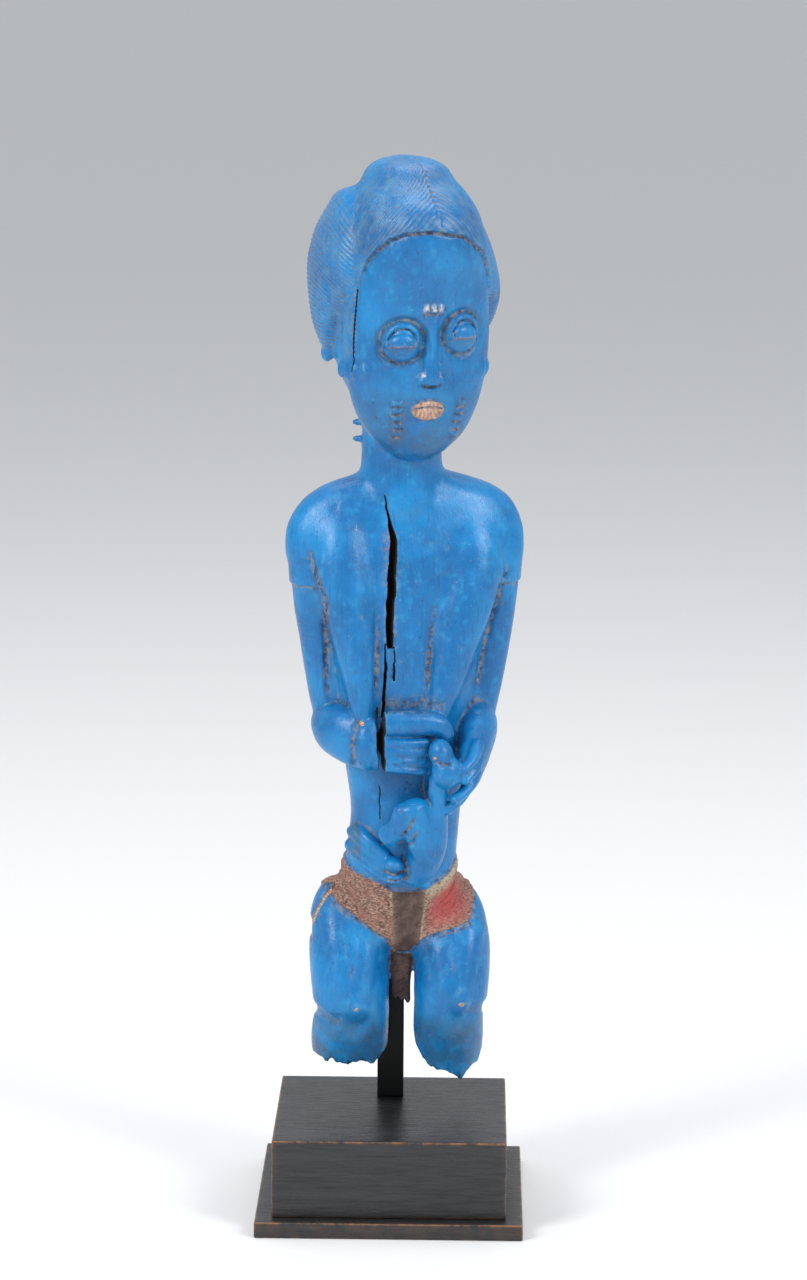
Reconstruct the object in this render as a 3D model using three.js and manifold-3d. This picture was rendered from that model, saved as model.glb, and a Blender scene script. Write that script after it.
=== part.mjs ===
// A painted wooden figure of a standing woman who nurses a child, broken off below the knees and held
// over a stepped display base by a metal bar. Millimetres, +Z up, and the front looks along -Y. The origin
// is the centre of the base plate's underside.
import * as THREE from "three";
import { mergeVertices } from "three/addons/utils/BufferGeometryUtils.js";
import Module from "manifold-3d";

const wasm = await Module();
wasm.setup();

// Display stand.
const PLATE_SIDE = 120;
const PLATE_HEIGHT = 7.25;
const BLOCK_SIDE = 105;
const BLOCK_HEIGHT = 35.5;
const BLOCK_TOP = PLATE_HEIGHT + BLOCK_HEIGHT;
const ROD_SIDE = 12;
const ROD_TOP = 136;
const ROD_X = -1;
const ROD_Y = 24.5;
const ROD_PLAY = 0.35;

// Each part of the body has its own upright axis [x, y] and its own turn about it, in degrees. The chest
// and the head look a little towards +X, and the legs look straight ahead.
const LEGS = { axis: [2.6, 6], turn: 0 };
const CHEST = { axis: [5.2, 6], turn: 10 };
const HEAD = { axis: [2.4, 6], turn: 21 };

// Levels that the parts share.
const KNEE = 92;
const CROTCH = 126;
const WAIST = 176;
const SLEEVE_HEM = 287;
const SHOULDER = 305;
const CHIN = 347;
const EYE_LEVEL = 400;
const HAIRLINE = 443;
const CROWN = 478;

const RIGHT = new THREE.Vector3(1, 0, 0);
const UP = new THREE.Vector3(0, 0, 1);
const WELD = 1e-4;
const SIDES = [-1, 1];

// Turns a closed geometry into a solid, with its faces pointing out.
function solid(geometry) {
  const bare = geometry.clone();
  bare.deleteAttribute("normal");
  bare.deleteAttribute("uv");
  const merged = mergeVertices(bare, WELD);
  const triVerts = new Uint32Array(merged.index.array);
  const mesh = { numProp: 3, vertProperties: merged.attributes.position.array, triVerts };
  const made = new wasm.Manifold(new wasm.Mesh(mesh));
  if (made.volume() > 0) return made;
  for (let i = 0; i < triVerts.length; i += 3) {
    [triVerts[i + 1], triVerts[i + 2]] = [triVerts[i + 2], triVerts[i + 1]];
  }
  return new wasm.Manifold(new wasm.Mesh(mesh));
}

function geometryOf(made) {
  const { vertProperties, triVerts } = made.getMesh();
  return new THREE.BufferGeometry()
    .setAttribute("position", new THREE.BufferAttribute(vertProperties, 3))
    .setIndex(new THREE.BufferAttribute(triVerts, 1));
}

function joined(solids) {
  return solids.reduce((whole, piece) => whole.add(piece));
}

// Sets solids that were made about their own upright axis in their place on the figure.
function placed(solids, { axis, turn }) {
  return joined(solids)
    .rotate([0, 0, turn])
    .translate([axis[0], axis[1], 0]);
}

// Knots for the limb on the given side, from those of the limb on the +X side.
function onSide(side, knots) {
  return knots.map(([x, ...rest]) => [side * x, ...rest]);
}

// A closed limb along a smooth spine. Each knot is [x, y, z, half width, half depth]. The width runs along
// `side`, and each end is rounded by `dome` times its own thickness. A `level` limb has level sections.
// `ripple` pushes every second ring out, and `locks` every second column, with the columns drawn together
// towards the front as they rise.
function limb(knots, options = {}) {
  const { around = 12, steps = 6, side = RIGHT, squareness = 2, dome = [0.7, 0.7] } = options;
  const { level = false, ripple = 0, locks = 0 } = options;
  const domeRows = 2;
  const rows = steps + 2 * domeRows;
  const spine = new THREE.CatmullRomCurve3(knots.map(([x, y, z]) => new THREE.Vector3(x, y, z)));
  const sizes = new THREE.SplineCurve(knots.map(([, , , w, d]) => new THREE.Vector2(w, d)));
  const geometry = new THREE.SphereGeometry(1, around, rows);
  const place = geometry.attributes.position;
  const round = (value) => Math.sign(value) * Math.abs(value) ** (2 / squareness);
  for (let row = 0; row <= rows; row++) {
    const along = THREE.MathUtils.clamp((row - domeRows) / steps, 0, 1);
    const fromStart = Math.max(0, 1 - row / domeRows);
    const fromEnd = Math.max(0, 1 - (rows - row) / domeRows);
    const bend = ((fromStart + fromEnd) * Math.PI) / 2;
    const size = sizes.getPoint(along);
    const tangent = level ? UP : spine.getTangent(along);
    const across = side.clone().addScaledVector(tangent, -side.dot(tangent)).normalize();
    const through = tangent.clone().cross(across);
    const reach = Math.min(size.x, size.y) * Math.sin(bend);
    const push = reach * (fromEnd > 0 ? dome[1] : -dome[0]);
    const centre = spine.getPoint(along).addScaledVector(tangent, push);
    const shrink = Math.cos(bend);
    for (let column = 0; column <= around; column++) {
      const turn = (2 * (column % around)) / around - 1;
      const drawn = locks > 0 ? Math.sign(turn) * Math.abs(turn) ** (1 + along) : turn;
      const angle = Math.PI * (drawn + 0.5);
      const swell = ripple * (row % 2) + locks * (column % 2) * shrink;
      const point = centre.clone();
      if (row > 0 && row < rows) {
        point.addScaledVector(across, (shrink * size.x + swell) * round(Math.cos(angle)));
        point.addScaledVector(through, (shrink * size.y + swell) * round(Math.sin(angle)));
      }
      place.setXYZ(row * (around + 1) + column, point.x, point.y, point.z);
    }
  }
  return solid(geometry);
}

// An ellipsoid: its centre, its three half sizes, and its lean about Y and turn about Z, in degrees.
function ball([x, y, z], [a, b, c], { lean = 0, turn = 0, around = 10, rows = 6 } = {}) {
  const geometry = new THREE.SphereGeometry(1, around, rows);
  geometry.rotateX(Math.PI / 2);
  geometry.scale(a, b, c);
  geometry.rotateY(THREE.MathUtils.degToRad(lean));
  geometry.rotateZ(THREE.MathUtils.degToRad(turn));
  geometry.translate(x, y, z);
  return solid(geometry);
}

function box([x, y, z], [a, b, c]) {
  return solid(new THREE.BoxGeometry(a, b, c).translate(x, y, z));
}

// Trunk, from the hips to the neck.

function trunk() {
  const knots = [
    [-1, 4, CROTCH, 24, 20],
    [-2.5, 1, 150, 27, 21],
    [-2.5, -1, 161, 26, 19.5],
    [-0.6, -1.5, WAIST, 25.2, 18.5],
    [0.4, -1, 190, 26, 18],
    [0, 0, 210, 29.5, 18.5],
    [0.5, 0, 234, 33, 19.5],
    [0, 0, 260, 36.5, 20],
    [0, 0.5, SLEEVE_HEM, 40.5, 20],
    [0, 1.5, SHOULDER, 42, 19],
    [0, 3, 319, 36, 16],
  ];
  const yoke = [
    [-40, 3, 308.5, 17.5, 14],
    [-20, 3, 318, 16, 15],
    [0, 3, 320.5, 17, 16],
    [20, 3, 318, 16, 15],
    [40, 3, 308.5, 17.5, 14],
  ];
  return limb(knots, { around: 20, steps: 10, squareness: 2.25, dome: [0.2, 0.15] }).add(
    limb(yoke, { around: 12, steps: 6, side: UP, squareness: 2.2, dome: [0.95, 0.95] }),
  );
}

function breast(side) {
  const knots = [
    [25, 2, 324, 9, 7],
    [28, -8, 309, 13, 9],
    [27.5, -13, 294, 13.5, 9],
    [25.5, -15.5, 276, 12.3, 7.5],
    [22, -17.5, 256, 9.8, 6],
    [16.8, -20.5, 234, 6.8, 5],
    [15.5, -22.5, 222, 4.5, 4.5],
  ];
  return limb(onSide(side, knots), { around: 10, steps: 7 });
}

// Arms. The sleeve is the thicker upper part, and ends in a small step.

function upperArm(side) {
  const arm = [
    [43.3, 3, 300, 8, 10],
    [42.7, 3, 285, 7.6, 9.6],
    [40.5, 3, 261, 7.2, 9],
    [37.2, 3, 240, 7.5, 9],
    [33, 2, 222, 8, 9.5],
  ];
  const sleeve = [
    [38, 3, 314, 13.5, 14],
    [42, 3, SHOULDER - 3, 11.5, 13.2],
    [43, 3, SLEEVE_HEM, 9, 11.5],
  ];
  return limb(onSide(side, arm), { around: 10, steps: 5 }).add(
    limb(onSide(side, sleeve), { around: 12, steps: 3, dome: [0.7, 0.05] }),
  );
}

// The arm on the -X side crosses the front, and its hand holds the breast: a long thumb above four fingers.
const HAND_FRONT = -27;
const FINGER_PITCH = 4.25;
const FINGER_COUNT = 4;

function breastHand() {
  const forearm = [
    [-32.5, 2, 222, 13, 9],
    [-31, -9, 221, 14.2, 9.5],
    [-26, -19, 218.5, 14, 8],
    [-17, -24, 217, 13, 6.5],
    [-11, -25, 217, 12, 5],
  ];
  const thumb = [
    [-14, HAND_FRONT, 227, 4.6, 4.6],
    [0, HAND_FRONT, 228.5, 4.2, 4.4],
    [12, HAND_FRONT, 227.5, 3.9, 4.2],
    [16.5, HAND_FRONT + 2, 221, 3.2, 3.6],
  ];
  const parts = [
    limb(forearm, { around: 12, steps: 5, side: UP, dome: [0.7, 0.3] }),
    limb(thumb, { around: 8, steps: 4, side: UP }),
  ];
  for (let finger = 0; finger < FINGER_COUNT; finger++) {
    const level = 218.5 - FINGER_PITCH * finger;
    const knots = [
      [-13, HAND_FRONT, level, 2.3, 3.4],
      [-3, HAND_FRONT - 0.8, level, 2.3, 3.4],
      [5, HAND_FRONT + 0.5, level, 2.1, 3],
    ];
    parts.push(limb(knots, { around: 7, steps: 2, side: UP, dome: [0.5, 0.8] }));
  }
  return joined(parts);
}

// The arm on the +X side holds the child's head from behind.
function cradleHand() {
  const forearm = [
    [33, 3, 223, 12, 8],
    [33, -8, 221, 12.5, 7.5],
    [30.5, -18, 213, 11.5, 6.5],
    [26, -27, 206, 10, 5],
  ];
  const fingers = [
    [[29, -28, 216], [23, -34, 210]],
    [[29, -29, 210], [23.5, -35, 204.5]],
    [[28.5, -29, 203], [17.5, -35, 192.5]],
  ];
  const parts = [limb(forearm, { around: 12, steps: 4, side: UP })];
  for (const [root, tip] of fingers) {
    const knots = [
      [...root, 2.6, 3],
      [...tip, 2.2, 2.6],
    ];
    parts.push(limb(knots, { around: 7, steps: 1, side: UP }));
  }
  return joined(parts);
}

// Child, held across the belly with its head up at the breast.
function child() {
  const body = [
    [10.5, -33, 200, 5, 5],
    [9.6, -31, 192, 4.8, 5],
    [7.5, -27, 183.5, 8.6, 8.5],
    [6.6, -25, 173, 9.6, 9.5],
    [4.8, -24, 162, 9, 9],
    [2, -22, 155, 6.5, 6],
  ];
  const thigh = [
    [4, -28, 166, 5, 5.5],
    [1, -32, 180, 6, 6],
    [-1, -33, 191, 6, 5.5],
  ];
  const shin = [
    [-2, -32.5, 190, 6, 5],
    [-8, -30, 182, 5, 5],
    [-14, -27, 176, 4.6, 5],
  ];
  return joined([
    ball([14.6, -38, 208.8], [8.2, 8, 11.2], { lean: -12, around: 12, rows: 7 }),
    limb(body, { around: 10, steps: 6 }),
    limb(thigh, { around: 8, steps: 2 }),
    limb(shin, { around: 8, steps: 2 }),
    ball([-8, -25, 163], [4.4, 5, 3.4], { around: 8, rows: 5 }),
    ball([-8, -24.5, 156.6], [4.2, 5, 3.4], { around: 8, rows: 5 }),
    ball([5, -25, 152], [2.4, 4, 2.4], { around: 6, rows: 4 }),
  ]);
}

// Two strands run round the waist from the front, and end in a knob on each side.
function waistStrands() {
  const parts = [];
  for (const [outer, inner] of [
    [178, 165.5],
    [169.5, 155.5],
  ]) {
    const knots = [
      [-24.5, -9, outer, 2.6, 2.6],
      [-20, -18, outer - 4, 3.2, 3.2],
      [-12, -22, inner, 3.2, 3.4],
    ];
    parts.push(limb(knots, { around: 7, steps: 3, side: UP }));
    parts.push(ball([-26.5, -8, outer - 1], [2.4, 3.4, 2.6], { around: 6, rows: 4 }));
  }
  return joined(parts);
}

// Loincloth: a band round the hips, an apron in front, and a tail that hangs between the thighs.
function loincloth() {
  const band = [
    [0, 5, 139, 28, 25],
    [-0.6, 2, 152, 28, 24],
    [-0.6, -1, 165, 26.8, 21.6],
  ];
  const apron = [
    [0, -12, 152, 15, 10],
    [0, -11.5, 138, 10.5, 10],
    [0.5, -8, CROTCH - 2, 8.5, 8],
  ];
  const tail = [
    [0.5, -4, 128, 5.5, 6],
    [0.3, -1, 112, 5, 4],
    [0, 1, 96, 4.6, 3],
  ];
  return joined([
    limb(band, { around: 20, steps: 2, dome: [0.2, 0.05] }),
    limb(apron, { around: 10, steps: 3, squareness: 2.6 }),
    limb(tail, { around: 8, steps: 3, squareness: 2.6 }),
  ]);
}

// Legs: heavy thighs run forward to the knees, and the shanks start back below them.

function leg(side) {
  const knots = [
    [18.5, 14, 141, 17.5, 19],
    [21.4, 8, 132, 19, 20.5],
    [22.9, 1, 120, 19, 19.5],
    [23, -4.5, 106, 18.6, 17.5],
    [22.2, -7.5, KNEE + 3, 17, 15.5],
    [21.8, -6.5, KNEE - 3, 16.3, 15],
    [22, -3.5, 79, 17.6, 15],
    [21.6, 0, 68, 17.6, 15],
    [21, 2, 58, 17, 14.5],
  ];
  return joined([
    limb(onSide(side, knots), { around: 14, steps: 9, squareness: 2.3, dome: [0.5, 0.1] }),
    ball([side * 16.5, 22, 142], [18, 18, 19], { around: 12, rows: 8 }),
  ]);
}

// The ragged edge where the shanks broke off, as blocks that are taken away below it. Each leg's edge is
// [x, z], from its outer side to its inner side.
const BREAK_EDGES = {
  left: [[-60, 72], [-37, 69], [-33, 66.5], [-30, 68.5], [-24, 66.5], [-15, 67.5], [-11, 66], [-8, 69], [-2, 72]],
  right: [[60, 84], [41, 78], [37, 67], [32, 63.5], [29, 59], [26, 62], [20, 63.5], [15, 65], [11, 69], [7, 76], [-4, 80]],
};

function legBreak(edge) {
  const half = 60;
  const [[outer], [inner]] = [edge[0], edge[edge.length - 1]];
  const outline = new THREE.Shape().moveTo(outer, 40);
  edge.forEach(([x, z]) => outline.lineTo(x, z));
  outline.lineTo(inner, 40);
  const geometry = new THREE.ExtrudeGeometry(outline, { depth: 2 * half, bevelEnabled: false });
  geometry.rotateX(Math.PI / 2).translate(0, half, 0);
  return solid(geometry);
}

// Head.

function face() {
  const knots = [
    [0, -20, CHIN + 2.5, 15, 9.5],
    [0, -18.5, 356, 22.5, 14],
    [0, -18, 367, 28.5, 16.5],
    [0, -18, 380, 32, 18],
    [0, -18, 398, 34, 20],
    [0, -17, 414, 33, 26],
    [0, -16, 430, 32, 31.5],
    [0, -16, 442, 30, 33],
  ];
  const skull = [
    [0, -3, 366, 20, 18],
    [0, 0, 380, 28, 26],
    [0, 2, 400, 31, 32],
    [0, 2, 430, 30, 30],
  ];
  return limb(knots, { around: 20, steps: 9, level: true, dome: [0.35, 0.2] }).add(
    limb(skull, { around: 14, steps: 3, level: true, dome: [0.3, 0.3] }),
  );
}

function neck() {
  const knots = [
    [0, 0, 322, 19.5, 18],
    [0, 0, 338, 18.4, 17],
    [0, -1, 355, 18.2, 17],
    [0, -2, 374, 18.4, 17],
  ];
  return limb(knots, { around: 16, steps: 2 });
}

// Eyes: a round bulge in a raised rim, with a slit across it.
const EYES = [
  { across: -13.2, level: EYE_LEVEL - 1.3 },
  { across: 14, level: EYE_LEVEL + 1.6 },
];
const EYE_WIDTH = 8.6;
const EYE_HEIGHT = 8.8;

function eye({ across, level }) {
  const outward = across < 0 ? -22 : 22;
  const bulge = ball([across, -34, level], [EYE_WIDTH - 1.6, 5.4, EYE_HEIGHT - 2.2], {
    turn: outward,
    rows: 5,
  });
  const rim = new THREE.TorusGeometry(EYE_WIDTH - 0.4, 1.5, 5, 12);
  rim.rotateX(Math.PI / 2).rotateZ(THREE.MathUtils.degToRad(outward)).translate(across, -36, level);
  const slit = new THREE.BoxGeometry(12, 2.6, 1.4);
  slit.rotateY(THREE.MathUtils.degToRad(-4));
  slit.rotateZ(THREE.MathUtils.degToRad(outward)).translate(across, -38.6, level - 1);
  return joined([bulge, solid(rim), solid(slit)]);
}

function nose() {
  const ridge = [
    [0.3, -41.5, 410, 3, 3],
    [0.3, -38, 397, 3, 3.2],
    [0.3, -36.6, 386, 4, 4],
    [0.3, -35.6, 381, 5.2, 5],
  ];
  return limb(ridge, { around: 8, steps: 5, dome: [0.4, 0.4] });
}

function mouth() {
  return ball([0.8, -31.4, 368], [7, 4.6, 4.4], { around: 12 });
}

// Raised scars: three on the forehead, a column of five down each cheek and three on the neck.
function scar([x, y, z], [a, b, c], turn) {
  const geometry = new THREE.BoxGeometry(a, b, c);
  geometry.rotateZ(THREE.MathUtils.degToRad(turn)).translate(x, y, z);
  return solid(geometry);
}

function scars() {
  const parts = [-4.6, 0, 4.6].map((across) => scar([across, -42.6, 412.6], [2.6, 2.6, 4.4], 0));
  for (const side of SIDES) {
    for (let bar = 0; bar < 5; bar++) {
      const place = [side * (15.6 - 0.9 * bar), -31.6, 372 - 3.8 * bar];
      parts.push(scar(place, [6, 3, 2], side * 28));
    }
  }
  return joined(parts);
}

function neckScars() {
  return joined([366.4, 358.8, 351.4].map((level) => scar([-16.6, 2, level], [3.4, 4, 2.6], 0)));
}

// Ears: a small boss on each side of the cheek, with a second one at the foot of each side lobe.
function ears() {
  const parts = [];
  for (const side of SIDES) {
    parts.push(ball([side * 30.8, -18, 384], [4.2, 5, 5], { around: 8, rows: 5 }));
    parts.push(ball([side * 31, 3, 388.5], [5.2, 5.5, 5.5], { around: 8, rows: 5 }));
  }
  return joined(parts);
}

// Hair: a tall crest over the forehead, with a leaf-shaped lobe behind each side and one at the back.
const LOCK_DEPTH = 1.1;
const LOBE_SHIFT = 1.3;

function crest() {
  const knots = [
    [0, -24, 418, 31, 26],
    [0, -24, 430, 30, 28],
    [0, -22, 445, 28.4, 30],
    [0, -15.5, 457, 25.8, 31],
    [0, -9, 465, 21.5, 27],
    [0, -4, CROWN - 8.5, 17, 21.5],
  ];
  const foreheadHeight = 64;
  const middle = HAIRLINE - foreheadHeight / 2;
  const forehead = [
    [0, -90, middle, 29, foreheadHeight / 2],
    [0, -22, middle, 29, foreheadHeight / 2],
  ];
  const lump = limb(knots, { around: 36, steps: 5, level: true, dome: [0.1, 0.5], locks: LOCK_DEPTH });
  return lump.subtract(limb(forehead, { around: 20, steps: 1, squareness: 5, dome: [0, 0] }));
}

function hairLobes() {
  const parts = [];
  for (const side of SIDES) {
    const knots = [
      [31.5, 5, 396, 4.5, 9],
      [29.5, 4, 404, 10.5, 19],
      [27, 3, 417, 15, 26],
      [26, 3, 431, 16, 28],
      [23, 2, 445, 14.5, 25],
      [20, 0, 457, 10, 18],
    ];
    const options = { around: 10, steps: 9, level: true, dome: [0.4, 0.5], ripple: LOCK_DEPTH };
    parts.push(limb(onSide(side, knots), options).translate([LOBE_SHIFT, 0, 0]));
  }
  const back = [
    [0, 20, 399, 18, 12],
    [0, 20, 416, 26, 16],
    [0, 17, 435, 24, 17],
    [0, 9, 453, 17, 15],
  ];
  parts.push(limb(back, { around: 12, steps: 7, level: true, dome: [0.5, 0.5], ripple: LOCK_DEPTH }));
  return joined(parts);
}

// Splits in the wood that open down the chest and through the hand.
function splits() {
  const chest = [
    [-11.4, -20, 328, 0.4, 13],
    [-9.3, -24, 313, 1.3, 16],
    [-9.6, -24, 298, 2, 16],
    [-10.2, -24, 280, 2, 16],
    [-10.8, -24, 254, 0.5, 13],
  ];
  const hand = [
    [-13.4, -30, 238, 0.5, 8],
    [-13.8, -34, 222, 1.7, 11],
    [-13.8, -34, 206, 1.6, 11],
    [-14.6, -26, 190, 0.4, 10],
  ];
  const options = { around: 6, steps: 8, dome: [0, 0] };
  return limb(chest, options).add(limb(hand, options));
}

// Stand.

function rod() {
  const height = ROD_TOP - BLOCK_TOP;
  return box([ROD_X, ROD_Y, BLOCK_TOP + height / 2], [ROD_SIDE, ROD_SIDE, height]);
}

function rodSocket() {
  const bottom = BLOCK_TOP;
  const wide = ROD_SIDE + 2 * ROD_PLAY;
  return box([ROD_X, ROD_Y, (bottom + ROD_TOP) / 2], [wide, wide, ROD_TOP - bottom]);
}

function figure() {
  const both = (make) => SIDES.map((side) => make(side));
  const legs = placed([...both(leg), loincloth()], LEGS)
    .subtract(legBreak(BREAK_EDGES.left))
    .subtract(legBreak(BREAK_EDGES.right));
  const chest = placed(
    [trunk(), ...both(breast), ...both(upperArm), breastHand(), cradleHand(), child(), waistStrands()],
    CHEST,
  );
  const cracks = placed([splits()], CHEST);
  const head = placed(
    [face(), neck(), ...EYES.map(eye), nose(), mouth(), scars(), ears(), crest(), hairLobes()],
    HEAD,
  );
  return joined([legs, chest.subtract(cracks), head, placed([neckScars()], LEGS)]).subtract(rodSocket());
}

const group = new THREE.Group();

function addMesh(name, made, look) {
  const mesh = new THREE.Mesh(geometryOf(made), new THREE.MeshStandardMaterial(look));
  mesh.name = name;
  group.add(mesh);
}

addMesh("figure", figure(), { color: 0x0a7bbd, roughness: 0.4, metalness: 0 });
addMesh("support_rod", rod(), { color: 0x161616, roughness: 0.45, metalness: 0.8 });
addMesh("base_block", box([0, 0, PLATE_HEIGHT + BLOCK_HEIGHT / 2], [BLOCK_SIDE, BLOCK_SIDE, BLOCK_HEIGHT]), {
  color: 0x1a1816,
  roughness: 0.5,
  metalness: 0,
});
addMesh("base_plate", box([0, 0, PLATE_HEIGHT / 2], [PLATE_SIDE, PLATE_SIDE, PLATE_HEIGHT]), {
  color: 0x1a1816,
  roughness: 0.5,
  metalness: 0,
});

export default group;
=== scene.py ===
"""A painted wooden figure of a standing woman who nurses a child, with its display stand.

The figure's forms are tables in millimetres. Each form stands in the frame of the part of the body that
it belongs to, and a shape function sets it in its place in metres.
"""

import math

import bmesh
import bpy
import numpy as np
from mathutils import Matrix, Vector


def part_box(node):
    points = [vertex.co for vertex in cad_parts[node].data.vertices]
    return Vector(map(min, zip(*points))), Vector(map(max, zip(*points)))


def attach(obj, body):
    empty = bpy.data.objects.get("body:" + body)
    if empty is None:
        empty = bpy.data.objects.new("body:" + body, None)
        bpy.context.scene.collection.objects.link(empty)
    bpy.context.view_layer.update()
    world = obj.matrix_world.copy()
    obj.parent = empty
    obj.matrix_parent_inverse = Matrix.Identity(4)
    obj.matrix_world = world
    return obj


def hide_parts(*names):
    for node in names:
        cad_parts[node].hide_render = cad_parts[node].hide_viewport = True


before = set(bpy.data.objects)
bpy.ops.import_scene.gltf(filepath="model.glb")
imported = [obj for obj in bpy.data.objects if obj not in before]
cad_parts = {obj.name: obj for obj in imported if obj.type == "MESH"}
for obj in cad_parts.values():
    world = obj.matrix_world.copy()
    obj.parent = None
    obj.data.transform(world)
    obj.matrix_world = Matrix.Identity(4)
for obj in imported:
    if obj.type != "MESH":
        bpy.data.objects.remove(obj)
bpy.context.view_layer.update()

MM = 0.001
RIGHT = np.array([1.0, 0.0, 0.0])
UP = np.array([0.0, 0.0, 1.0])
SIDES = (-1, 1)

# Each part of the body has its own upright axis [x, y] and its own turn about it, in degrees.
LEGS = {"axis": (2.6, 6.0), "turn": 0.0}
CHEST = {"axis": (5.2, 6.0), "turn": 10.0}
HEAD = {"axis": (2.4, 6.0), "turn": 21.0}

# Fineness of the carved surface.
MASS_VOXEL = 1.5
BODY_VOXEL = 0.72
MOST_TRIANGLES = 195000


# Camera, floor and light.

IMAGE_HEIGHT = 1280
FOCAL_PIXELS = 4054.88
SENSOR = 36.0
CAMERA_PLACE = Vector((0.0335, -1.79225, 0.5805))
CAMERA_YAW, CAMERA_PITCH, CAMERA_ROLL = -0.01644, 0.17638, 0.00692


def make_camera():
    data = bpy.data.cameras.new("camera")
    data.sensor_width = SENSOR
    data.lens = SENSOR * FOCAL_PIXELS / IMAGE_HEIGHT
    data.clip_end = 200.0
    camera = bpy.data.objects.new("camera", data)
    turned = Matrix.Rotation(-CAMERA_YAW, 4, "Z") @ Matrix.Rotation(math.pi / 2 - CAMERA_PITCH, 4, "X")
    camera.matrix_world = Matrix.Translation(CAMERA_PLACE) @ turned @ Matrix.Rotation(CAMERA_ROLL, 4, "Z")
    bpy.context.scene.collection.objects.link(camera)
    bpy.context.scene.camera = camera


def make_floor():
    bm = bmesh.new()
    bmesh.ops.create_circle(bm, cap_ends=True, segments=64, radius=60.0)
    floor = new_object("floor", bm)
    paper = Recipe("floor_paper")
    paper.surface.inputs["Specular IOR Level"].default_value = 0.2
    floor.data.materials.append(paper.finish((0.80, 0.80, 0.80, 1.0), 0.75))


def area_light(name, place, aim, size, watts, shade=(1.0, 1.0, 1.0)):
    data = bpy.data.lights.new(name, "AREA")
    data.shape = "RECTANGLE"
    data.size, data.size_y = size
    data.energy = watts
    data.color = shade
    light = bpy.data.objects.new(name, data)
    light.location = place
    light.rotation_euler = (Vector(aim) - Vector(place)).to_track_quat("-Z", "Y").to_euler()
    bpy.context.scene.collection.objects.link(light)


def make_light():
    world = bpy.data.worlds.new("studio")
    world.use_nodes = True
    background = world.node_tree.nodes["Background"]
    background.inputs["Color"].default_value = (0.93, 0.96, 1.0, 1.0)
    background.inputs["Strength"].default_value = 0.62
    bpy.context.scene.world = world
    middle = (0.0, 0.0, 0.28)
    area_light("left_softbox", (-1.25, -1.15, 1.35), middle, (0.55, 0.9), 22.0)
    area_light("right_softbox", (1.3, -1.05, 1.30), middle, (0.55, 0.9), 17.0)
    area_light("top_softbox", (0.0, 0.35, 2.0), middle, (1.4, 1.0), 16.0)
    bpy.context.scene.view_settings.view_transform = "Standard"


# Shape tools.


def new_object(name, bm):
    mesh = bpy.data.meshes.new(name)
    bm.to_mesh(mesh)
    bm.free()
    made = bpy.data.objects.new(name, mesh)
    bpy.context.scene.collection.objects.link(made)
    return made


def spline(values, at):
    """A smooth curve through rows of values, read at places from 0 to 1."""
    values = np.asarray(values, float)
    last = len(values) - 1
    place = np.clip(np.asarray(at, float), 0.0, 1.0) * last
    left = np.minimum(place.astype(int), last - 1)
    t = (place - left)[:, None]
    p0, p1 = values[np.maximum(left - 1, 0)], values[left]
    p2, p3 = values[left + 1], values[np.minimum(left + 2, last)]
    slope_1, slope_2 = (p2 - p0) / 2, (p3 - p1) / 2
    return (
        (2 * t**3 - 3 * t**2 + 1) * p1
        + (t**3 - 2 * t**2 + t) * slope_1
        + (3 * t**2 - 2 * t**3) * p2
        + (t**3 - t**2) * slope_2
    )


def limb(knots, side=RIGHT, around=40, rows=40, squareness=2.0, dome=(0.7, 0.7), level=False):
    """A closed limb along a smooth spine. Each knot is (x, y, z, half width, half depth) in millimetres.
    The width runs along `side`, and each end is rounded by `dome` times its own thickness. A `level`
    limb has level sections."""
    bm = bmesh.new()
    bmesh.ops.create_uvsphere(bm, u_segments=around, v_segments=rows, radius=1.0)
    ball = np.array([v.co for v in bm.verts])
    rise = np.arcsin(np.clip(ball[:, 2], -1, 1)) / math.pi + 0.5
    angle = np.arctan2(ball[:, 1], ball[:, 0])
    cap = 0.16
    along = np.clip((rise - cap) / (1 - 2 * cap), 0, 1)
    bend = (np.clip(1 - rise / cap, 0, 1) + np.clip(1 - (1 - rise) / cap, 0, 1)) * math.pi / 2
    spot = spline(knots, along)
    step = 1e-3
    tangent = spline(knots, along + step)[:, :3] - spline(knots, along - step)[:, :3]
    if level:
        tangent = np.tile(UP, (len(spot), 1))
    tangent /= np.linalg.norm(tangent, axis=1, keepdims=True)
    across = side - tangent * (tangent @ side)[:, None]
    across /= np.linalg.norm(across, axis=1, keepdims=True)
    through = np.cross(tangent, across)
    reach = np.minimum(spot[:, 3], spot[:, 4]) * np.sin(bend)
    push = np.where(rise > 0.5, dome[1], -dome[0]) * reach
    shrink = np.cos(bend)

    def rounded(value):
        return np.sign(value) * np.abs(value) ** (2 / squareness)

    place = spot[:, :3] + tangent * push[:, None]
    place += across * (shrink * spot[:, 3] * rounded(np.cos(angle)))[:, None]
    place += through * (shrink * spot[:, 4] * rounded(np.sin(angle)))[:, None]
    for vert, spot_now in zip(bm.verts, place):
        vert.co = spot_now
    return bm


def ball(centre, halves, lean=0.0, turn=0.0):
    """An ellipsoid, leant about Y and turned about Z by degrees."""
    bm = bmesh.new()
    bmesh.ops.create_icosphere(bm, subdivisions=4, radius=1.0)
    shape = Matrix.Rotation(math.radians(turn), 4, "Z") @ Matrix.Rotation(math.radians(lean), 4, "Y")
    shape = Matrix.Translation(centre) @ shape @ Matrix.Diagonal((*halves, 1.0))
    bmesh.ops.transform(bm, matrix=shape, verts=bm.verts)
    return bm


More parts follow.
